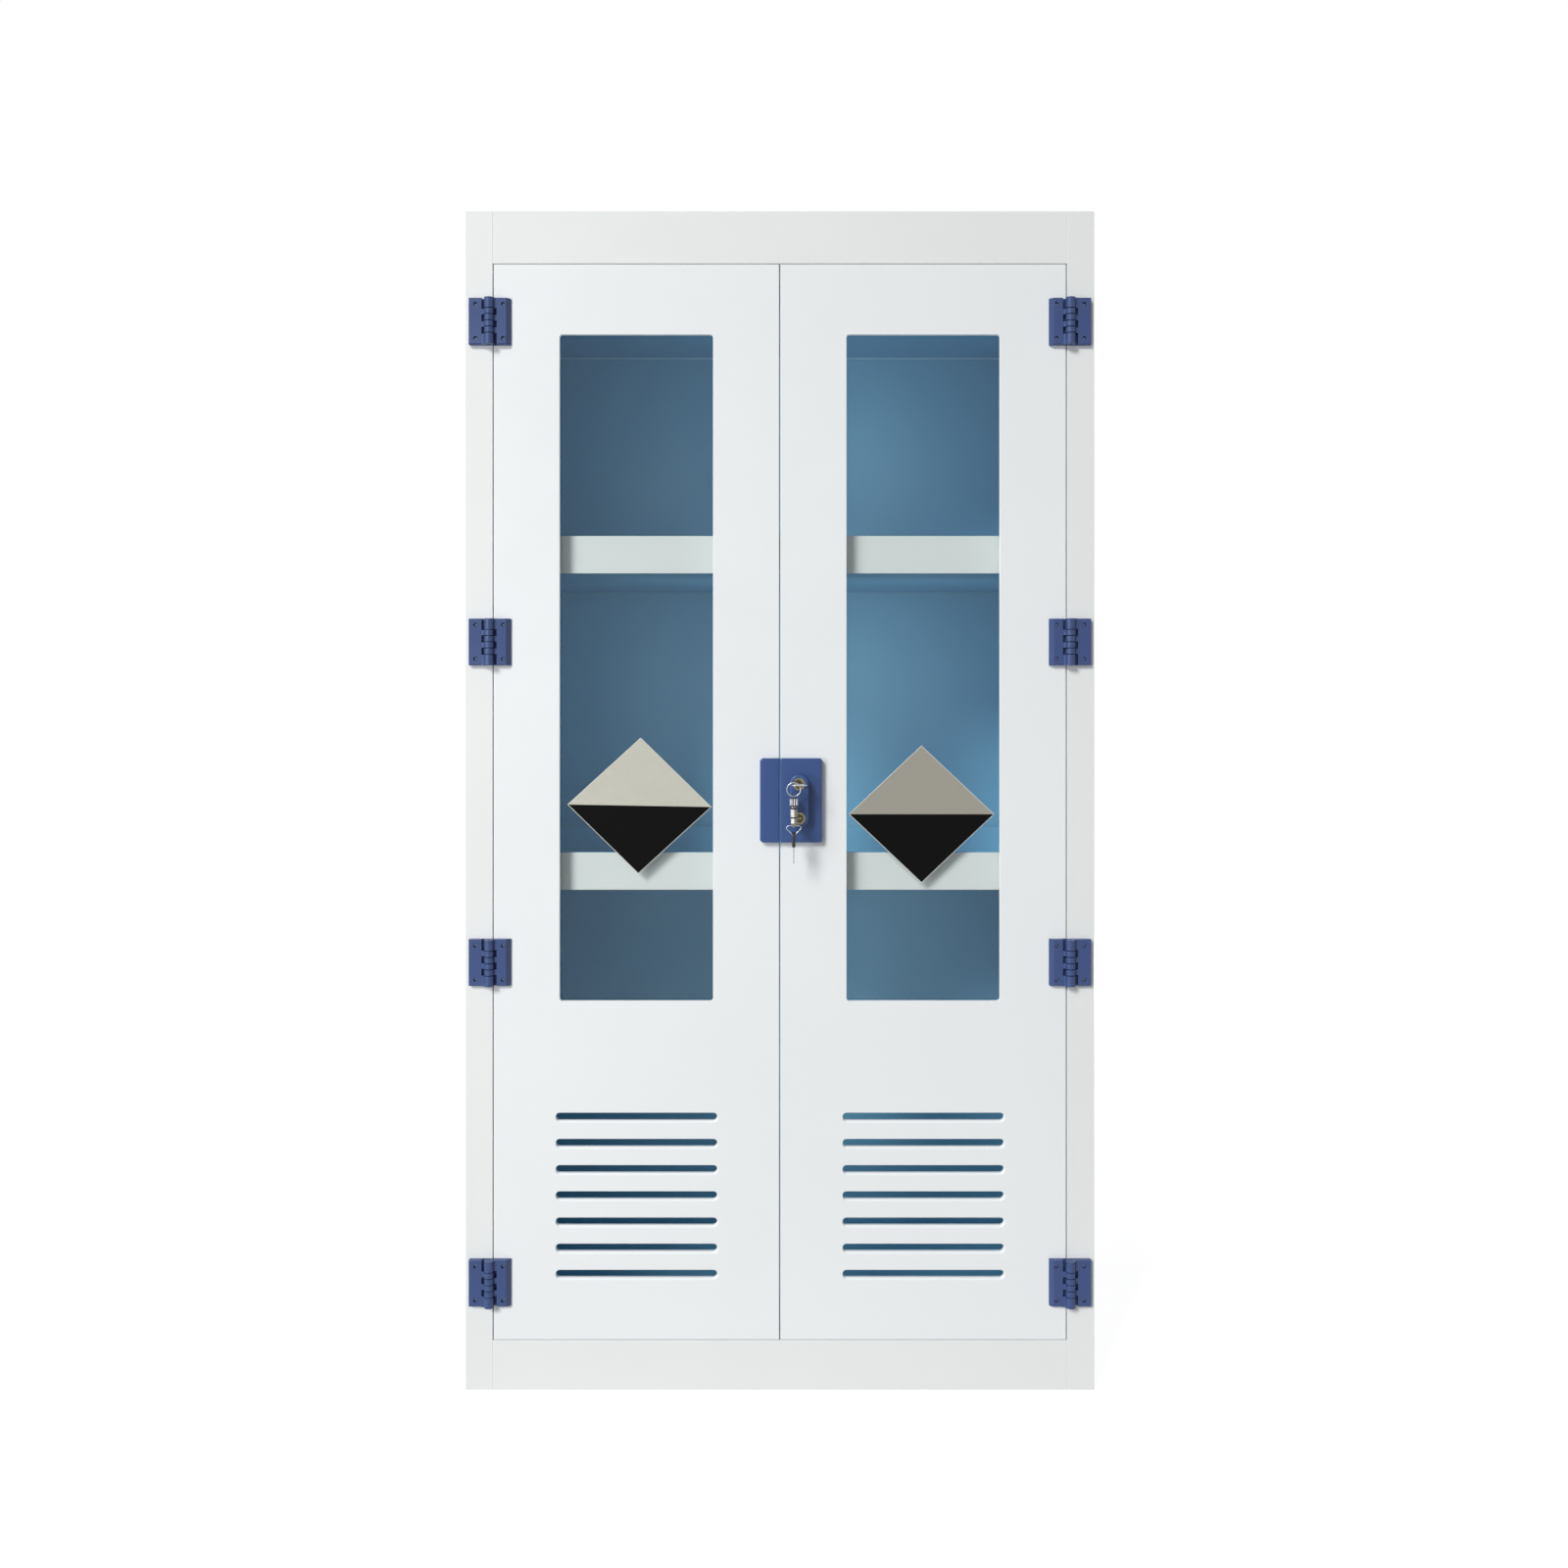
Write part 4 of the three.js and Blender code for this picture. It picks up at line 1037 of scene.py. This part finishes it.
def add_hinges():
    low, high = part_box("right_hinge_1_frame_leaf")
    axis = middle(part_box("right_hinge_1_pin"))
    half = (high.z - low.z) / 2
    outer = high.x - axis.x
    back = high.y - axis.y
    meshes = {}
    for role, bevel in (("frame_leaf", FRAME_LEAF_BEVEL), ("door_leaf", DOOR_LEAF_BEVEL)):
        meshes[role, 1] = leaf_mesh(f"right_{role}", 0, bevel, outer, back, half)
        turned_over = leaf_mesh(f"left_{role}", 1, bevel, outer, back, half)
        meshes[role, -1] = mirrored(turned_over, f"left_{role}")
    end = half - PIN_END_GAP
    profile = [(0, -end), (PIN_TIP_RADIUS, -end), (PIN_RADIUS, PIN_CHAMFER - end),
               (PIN_RADIUS, end - PIN_CHAMFER), (PIN_TIP_RADIUS, end), (0, end)]
    pin = smooth(turned("pin", profile, SMALL_STEPS, "plan"))
    screw = screw_mesh("hinge_screw", *HINGE_SCREW_HEAD, "front")
    seat = LEAF_FRONT + RECESS_DEPTH
    for side, sign in DOORS.items():
        for number in range(1, HINGE_COUNT + 1):
            name = f"{side}_hinge_{number}"
            place = middle(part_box(f"{name}_pin"))
            for leaf_side, way in DOORS.items():
                role = "frame_leaf" if way == sign else "door_leaf"
                body = "carcass" if way == sign else f"{side}_door"
                piece(f"{name}_{role}_fine", meshes[role, way], HINGE_BLUE, body,
                      [f"{name}_{role}"], place, HINGE_EDGE)
                for row, up in (("upper", SCREW_UP), ("lower", -SCREW_UP)):
                    spot = place + Vector((way * SCREW_ASIDE, seat, up))
                    # Their darker steel is partly painted shade of the recesses
                    piece(f"{name}_{leaf_side}_screw_{row}", screw, HINGE_SCREW_SHADED_STEEL, body,
                          place=spot)
            piece(f"{name}_pin_fine", pin, HINGE_BLUE, "carcass", [f"{name}_pin"], place)


# Lock

def add_keeper():
    low, high, centre, halves = measured("keeper_plate")
    edge = -2 * halves.x
    end = halves.z
    outline = [(0, -end), (0, end), (edge + KEEPER_CHAMFER, end), (edge, end - KEEPER_CHAMFER),
               (edge, KEEPER_CHAMFER - end), (edge + KEEPER_CHAMFER, -end)]
    mesh = smooth(slab("keeper", outline, rounded_over(2 * halves.y, PLATE_BEVEL)))
    place = (high.x, high.y, centre.z)
    keeper = piece("keeper_plate_fine", mesh, LOCK_BLUE, "left_door", ["keeper_plate"], place)
    soften(keeper, MOULD_EDGE, EDGE_STEPS, KEEPER_ANGLE)


def add_housing():
    low, high, centre, half = measured("lock_housing")
    outline = rounded_rectangle(half.x, half.z, PLATE_CORNER)
    plate = slab("plate", outline, rounded_over(PLATE_THICKNESS, PLATE_BEVEL))
    upper, lower = (middle(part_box(f"{name}_lock_cylinder")) - centre for name in CYLINDERS)
    boss_centre = middle((upper, lower))
    boss_half = BOSS_HALF_WIDTH + (upper.z - lower.z) / 2
    boss_outline = rounded_rectangle(BOSS_HALF_WIDTH, boss_half, BOSS_HALF_WIDTH, BOSS_STEPS)
    boss_levels = rounded_over(PLATE_THICKNESS + BOSS_PROUD, BOSS_BEVEL, PLATE_THICKNESS / 2)
    boss = slab("boss", boss_outline, boss_levels, place=(boss_centre.x, 0, boss_centre.z))
    holes = [
        slab("hole", circle(CYLINDER_HOLE), THROUGH, place=(spot.x, 0, spot.z))
        for spot in (upper, lower)
    ]
    mesh = smooth(combined("housing", plate, [boss], holes))
    place = (centre.x, high.y, centre.z)
    housing = piece("lock_housing_fine", mesh, LOCK_BLUE, "right_door", ["lock_housing"], place)
    soften(housing, MOULD_EDGE, EDGE_STEPS, HOUSING_ANGLE)


def add_cylinders():
    for name in CYLINDERS:
        low, high, centre, half = measured(f"{name}_lock_cylinder")
        place = (centre.x, low.y, centre.z)
        deep = 2 * half.y
        flange = half.x
        profile = [
            (CYLINDER_BORE, -deep), (CYLINDER_RADIUS, -deep), (CYLINDER_RADIUS, -FLANGE_THICKNESS),
            (flange, -FLANGE_THICKNESS), (flange, -FLANGE_EDGE), (flange - FLANGE_EDGE, 0), *CYLINDER_FACE,
        ]
        piece(f"{name}_cylinder_fine", smooth(tube("cylinder", profile)), LOCK_METAL, "right_door",
              [f"{name}_lock_cylinder"], place)
        add_plug(name, place)
        add_nut(name, centre)


def add_plug(name, place):
    low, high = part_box(f"{name}_lock_plug")
    deep = high.y - low.y
    shoulder = 2 * measured(f"{name}_lock_cam")[3].y + CAM_GAP - deep
    profile = [(0, -deep), (SPIGOT_RADIUS, -deep), (SPIGOT_RADIUS, shoulder), (PLUG_RADIUS, shoulder)]
    plug = turned("plug", profile + PLUG_FACE)
    slot = slab("keyway", rectangle(*KEYWAY_HALVES), [(-KEYWAY_DEPTH, 0), (CUT_REACH, 0)])
    mesh = smooth(combined("plug", plug, cut=[slot]))
    body = f"{name}_lock_core"
    piece(f"{name}_plug_fine", mesh, PLUG_METAL, body, [f"{name}_lock_plug"], place)
    if name == "lower":
        wide, tall = KEYWAY_HALVES
        shutter = block("shutter", (-wide, SHUTTER_DEPTH, -tall), (wide, 2 * SHUTTER_DEPTH, tall))
        piece("lower_plug_shutter", shutter, LOCK_METAL, body, place=place)
    add_cam(name, body, place)


def add_cam(name, body, axis):
    low, high, centre, half = measured(f"{name}_lock_cam")
    outline = rounded_rectangle(half.x, half.z, half.x, CAM_STEPS)
    arm = slab("cam", outline, [(0, 0), (2 * half.y, 0)], "back")
    hole = slab("hole", circle(CAM_BORE, SMALL_STEPS, (0, axis[2] - centre.z)), THROUGH, "back")
    mesh = smooth(combined("cam", arm, cut=[hole]))
    place = (centre.x, low.y, centre.z)
    piece(f"{name}_cam_fine", mesh, SCREW_STEEL, body, [f"{name}_lock_cam"], place, METAL_EDGE)
    head = screw_mesh("cam_screw", *CAM_SCREW_HEAD, "back")
    seat = (axis[0], high.y + CAM_SCREW_HEAD[1], axis[2])
    piece(f"{name}_cam_screw", head, SCREW_STEEL, body, place=seat)


def add_nut(name, centre):
    levels = eased_levels(0, NUT_THICKNESS, NUT_EDGE)
    mesh = smooth(ring_slab("nut", hexagon(NUT_RADIUS), circle(NUT_BORE), levels, "back"))
    place = (centre.x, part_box("right_door_panel")[1].y, centre.z)
    piece(f"{name}_cylinder_nut", mesh, SCREW_STEEL, "right_door", place=place)


# Keys

def add_key():
    low, high, centre, halves = measured("key")
    reach = 2 * halves.y
    half = halves.z
    flat = [(-half, 0), (half, 0)]
    outer = rounded_rectangle(halves.x, BOW_LENGTH / 2, BOW_CORNER)
    inner = rounded_rectangle(halves.x - BOW_BAR, BOW_LENGTH / 2 - BOW_BAR, BOW_HOLE_CORNER)
    bow = ring_slab("bow", outer, inner, eased_levels(-half, half, KEY_EDGE), "plan", (0, BOW_LENGTH / 2, 0))
    root = BOW_LENGTH - BOW_BAR / 2
    blade = [(-BLADE_HALF, root), (BLADE_HALF, root), *KEY_CUTS]
    blade += [(BLADE_TIP_HALF, reach), (-BLADE_TIP_HALF, reach), (-BLADE_HALF, reach - BLADE_TIP_SLOPE)]
    blank = slab("blade", blade, flat, "plan")
    collar_outline = rounded_rectangle(*COLLAR_HALVES, COLLAR_CORNER, 4)
    collar = slab("collar", collar_outline, flat, "plan", (0, BOW_LENGTH + COLLAR_CORNER, 0))
    mesh = smooth(combined("key", bow, [blank, collar]))
    place = (centre.x, low.y, centre.z)
    piece("key_fine", mesh, KEY_STEEL, "upper_lock_core", ["key"], place)


def add_ring():
    centre, half = measured("key_ring")[2:]
    radius = half.x - RING_ROOM
    points = []
    for step in range(RING_STEPS + 1):
        share = step / RING_STEPS
        turn = 2 * math.pi * RING_TURNS * share + RING_START
        points.append((radius * math.cos(turn), (share - 0.5) * RING_PITCH, radius * math.sin(turn)))
    mesh = smooth(wire("ring", points, RING_WIRE), WIRE_ANGLE)
    piece("key_ring_fine", mesh, KEY_STEEL, "hanging_ring", ["key_ring"], centre)


# Points of a stretch of the connector with rounded rims
def stretch(top, bottom, top_radius, bottom_radius, rim):
    return [(0, bottom), (bottom_radius - rim, bottom), (bottom_radius, bottom + rim),
            (top_radius, top - rim), (top_radius - rim, top), (0, top)]


def add_connector():
    pivot = Vector(next(joint["pos_m"] for joint in frame["joints"] if joint["name"] == "bunch_swing"))
    parts = []
    for stretches, steps in ((CONNECTOR_ROUNDS, ROUND_STEPS), (CONNECTOR_FACETED, FACET_COUNT)):
        for limits in stretches:
            part = turned("stretch", stretch(*limits, CONNECTOR_RIM), steps, "plan")
            part.transform(Matrix.Rotation(FACET_TURN, 4, "Z"))
            parts.append(part)
    eye = (circle(EYE_RADIUS, MIDDLE_STEPS), circle(EYE_BORE, MIDDLE_STEPS))
    parts.append(ring_slab("eye", *eye, eased_levels(-EYE_HALF, EYE_HALF, EYE_EDGE), "side"))
    mesh = smooth(combined("connector", parts[0], parts[1:]))
    # Its darker steel is a painted reflection of dark surroundings
    piece("key_connector_fine", mesh, CLIP_STEEL_DARK_REFLECTION, "key_bunch", ["key_connector"], pivot)
    levels = eased_levels(RIB_BOTTOM, RIB_TOP, RIB_EDGE)
    ribs = [
        slab("rib", circle(RIB_RADIUS, RIB_STEPS, spot), levels, "plan")
        for spot in circle(RIB_PLACE, RIB_COUNT)
    ]
    mesh = smooth(combined("ribs", ribs[0], ribs[1:]))
    piece("key_connector_ribs", mesh, KEY_STEEL, "key_bunch", place=pivot)
    # The black core shows between the ribs and between the stretches as painted shade in the grooves
    core = stretch(RIB_TOP, CORE_END, CORE_RADIUS, CORE_RADIUS, CONNECTOR_RIM)
    mesh = smooth(turned("core", core, MIDDLE_STEPS, "plan"))
    piece("key_connector_shade_core", mesh, KEY_BLACK_AND_GROOVE_SHADE, "key_bunch", place=pivot)
    add_loop(pivot)


def add_loop(pivot):
    low, high, centre, halves = measured("key_connector")
    half = halves.x - LOOP_WIRE
    bottom = low.z + LOOP_WIRE - pivot.z
    corners = [Vector((across * half, 0, bottom + LOOP_DROP * (1 - down))) for across, down in LOOP_SHARES]
    mesh = smooth(wire("loop", smooth_closed(corners, LOOP_CURVE_STEPS), LOOP_WIRE, True), WIRE_ANGLE)
    piece("key_loop", mesh, KEY_STEEL, "key_bunch", place=pivot)


# A closed curve through points
def smooth_closed(corners, steps):
    count = len(corners)
    points = []
    for index in range(count):
        before, start, end, after = (corners[(index + shift) % count] for shift in (-1, 0, 1, 2))
        for step in range(steps):
            t = step / steps
            bend = (before - 2.5 * start + 2 * end - 0.5 * after) * t * t
            swing = (-0.5 * before + 1.5 * start - 1.5 * end + 0.5 * after) * t ** 3
            points.append(start + (end - before) * 0.5 * t + bend + swing)
    return points


def add_spare_key():
    low, high, centre, halves = measured("spare_key")
    place = (centre.x, centre.y, low.z + SPARE_HOLE_HEIGHT)
    half = halves.x
    outline = rounded_rectangle(halves.y, SPARE_HEAD_HALF, SPARE_HEAD_CORNER)
    ease = SPARE_EDGE * SPARE_EASE_SHARE
    levels = [(-half, SPARE_EDGE), (ease - half, ease), (SPARE_EDGE - half, 0),
              (half - SPARE_EDGE, 0), (half - ease, ease), (half, SPARE_EDGE)]
    head = slab("head", outline, levels, "side", (0, 0, -SPARE_HEAD_DROP))
    bore = slab("bore", circle(SPARE_BORE, SMALL_STEPS), THROUGH, "side")
    mesh = smooth(combined("head", head, cut=[bore]), HEAD_ANGLE)
    piece("spare_key_head", mesh, KEY_BLACK_AND_GROOVE_SHADE, "key_bunch", ["spare_key"], place)
    outline = [(-BLADE_HALF, SPARE_BLADE_TOP)]
    outline += [(across, up - SPARE_HOLE_HEIGHT) for across, up in SPARE_CUTS]
    outline += [(BLADE_HALF, SPARE_BLADE_TOP)]
    mesh = smooth(slab("blade", outline, [(-SPARE_BLADE_HALF, 0), (SPARE_BLADE_HALF, 0)], "side"))
    piece("spare_key_blade", mesh, KEY_STEEL, "key_bunch", place=place, edge=METAL_EDGE)


# Studio

def add_floor():
    mesh = block("floor", (-FLOOR_HALF, -FLOOR_HALF, -FLOOR_DEPTH), (FLOOR_HALF, FLOOR_HALF, 0))
    made = Shader(bpy.data.materials.new("studio_floor"))
    surface = made.surface(FLOOR_COLOUR, FLOOR_ROUGHNESS, **{SPECULAR: 0.0})
    glow = made.node("Emission")
    made.link(made.reckon("MULTIPLY", made.seen(), FLOOR_GLOW), glow, "Strength")
    both = made.node("AddShader")
    made.link(surface, both, 0)
    made.link(glow, both, 1)
    mesh.materials.append(made.finish(both))
    into_scene("studio_floor", mesh)


# White where it is seen, plainer where it only lights
def add_world():
    bpy.context.scene.world = bpy.data.worlds.new("studio")
    made = Shader(bpy.context.scene.world, "OutputWorld")
    mix = made.node("MixShader")
    made.link(made.seen(), mix, "Fac")
    for socket, colour, strength in ((1, WORLD_COLOUR, WORLD_LIGHT), (2, WHITE, 1.0)):
        sky = made.node("Background", Color=colour, Strength=strength)
        made.link(sky, mix, socket)
    made.finish(mix)


# The turn of a light that shines along a direction
def aimed(direction):
    return Vector(direction).to_track_quat("-Z", "Y").to_euler()


def add_lamp(name, place, target, size, energy):
    data = bpy.data.lights.new(name, "AREA")
    data.shape = "RECTANGLE"
    data.size, data.size_y = size
    data.energy = energy
    lamp = into_scene(name, data)
    lamp.location = place
    lamp.rotation_euler = aimed(Vector(target) - Vector(place))
    return lamp


# Leaves a lamp's light and keeps the lamp itself out of sight
def hide_lamp(lamp):
    lamp.visible_camera = False
    lamp.visible_glossy = False
    lamp.visible_transmission = False


def add_lights():
    sun = bpy.data.lights.new("sun", "SUN")
    sun.energy = SUN_STRENGTH
    sun.angle = SUN_ANGLE
    sun.color = SUN_COLOUR
    into_scene("sun", sun).rotation_euler = aimed(SUN_TRAVEL)
    add_lamp("side_lamp", SIDE_LAMP_PLACE, LAMP_TARGET, SIDE_LAMP_SIZE, SIDE_LAMP_ENERGY)
    hide_lamp(add_lamp("rear_lamp", REAR_LAMP_PLACE, LAMP_TARGET, REAR_LAMP_SIZE, REAR_LAMP_ENERGY))
    add_inner_lamps()


# Lifts each compartment a little, as the light of a bright room does
def add_inner_lamps():
    low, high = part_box("back_panel")
    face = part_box("top_rail")[0].y
    heights = [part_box("floor_panel")[1].z]
    for shelf in SHELVES:
        heights += [corner.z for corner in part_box(f"{shelf}_shelf_tray")]
    heights.append(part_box("ceiling_panel")[0].z)
    centre = (low.x + high.x) / 2 + INNER_LAMP_ASIDE
    wide = high.x - low.x - 2 * INNER_LAMP_SIDE_MARGIN
    for index, energy in enumerate(INNER_LAMP_ENERGIES):
        bottom, top = heights[2 * index:2 * index + 2]
        height = (bottom + top) / 2
        size = (wide, top - bottom - 2 * INNER_LAMP_MARGIN)
        place = (centre, face + INNER_LAMP_BEHIND_FACE, height)
        hide_lamp(add_lamp(f"inner_lamp_{index + 1}", place, (centre, low.y, height), size, energy))


def add_camera():
    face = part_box("top_rail")[0].y
    data = bpy.data.cameras.new("camera")
    data.sensor_width = SENSOR
    focal_pixels = CAMERA_DISTANCE / MM / MILLIMETRES_A_PIXEL
    data.lens = focal_pixels / IMAGE_SIZE * SENSOR
    half = IMAGE_SIZE / 2
    data.shift_x = (half - CABINET_CENTRE_PIXEL) / IMAGE_SIZE
    data.shift_y = (HORIZON_PIXEL - half) / IMAGE_SIZE
    data.dof.use_dof = False
    camera = into_scene("camera", data)
    camera.location = (0, face - CAMERA_DISTANCE, CAMERA_HEIGHT)
    camera.rotation_euler = (math.pi / 2, 0, 0)
    bpy.context.scene.camera = camera


add_camera()
dress_carcass()
add_weld_seams()
add_stop_strips()
add_doors()
add_retainer_screws()
add_signs()
add_hinges()
add_keeper()
add_housing()
add_cylinders()
add_key()
add_ring()
add_connector()
add_spare_key()
add_floor()
add_world()
add_lights()

bpy.context.scene.view_settings.view_transform = "Standard"
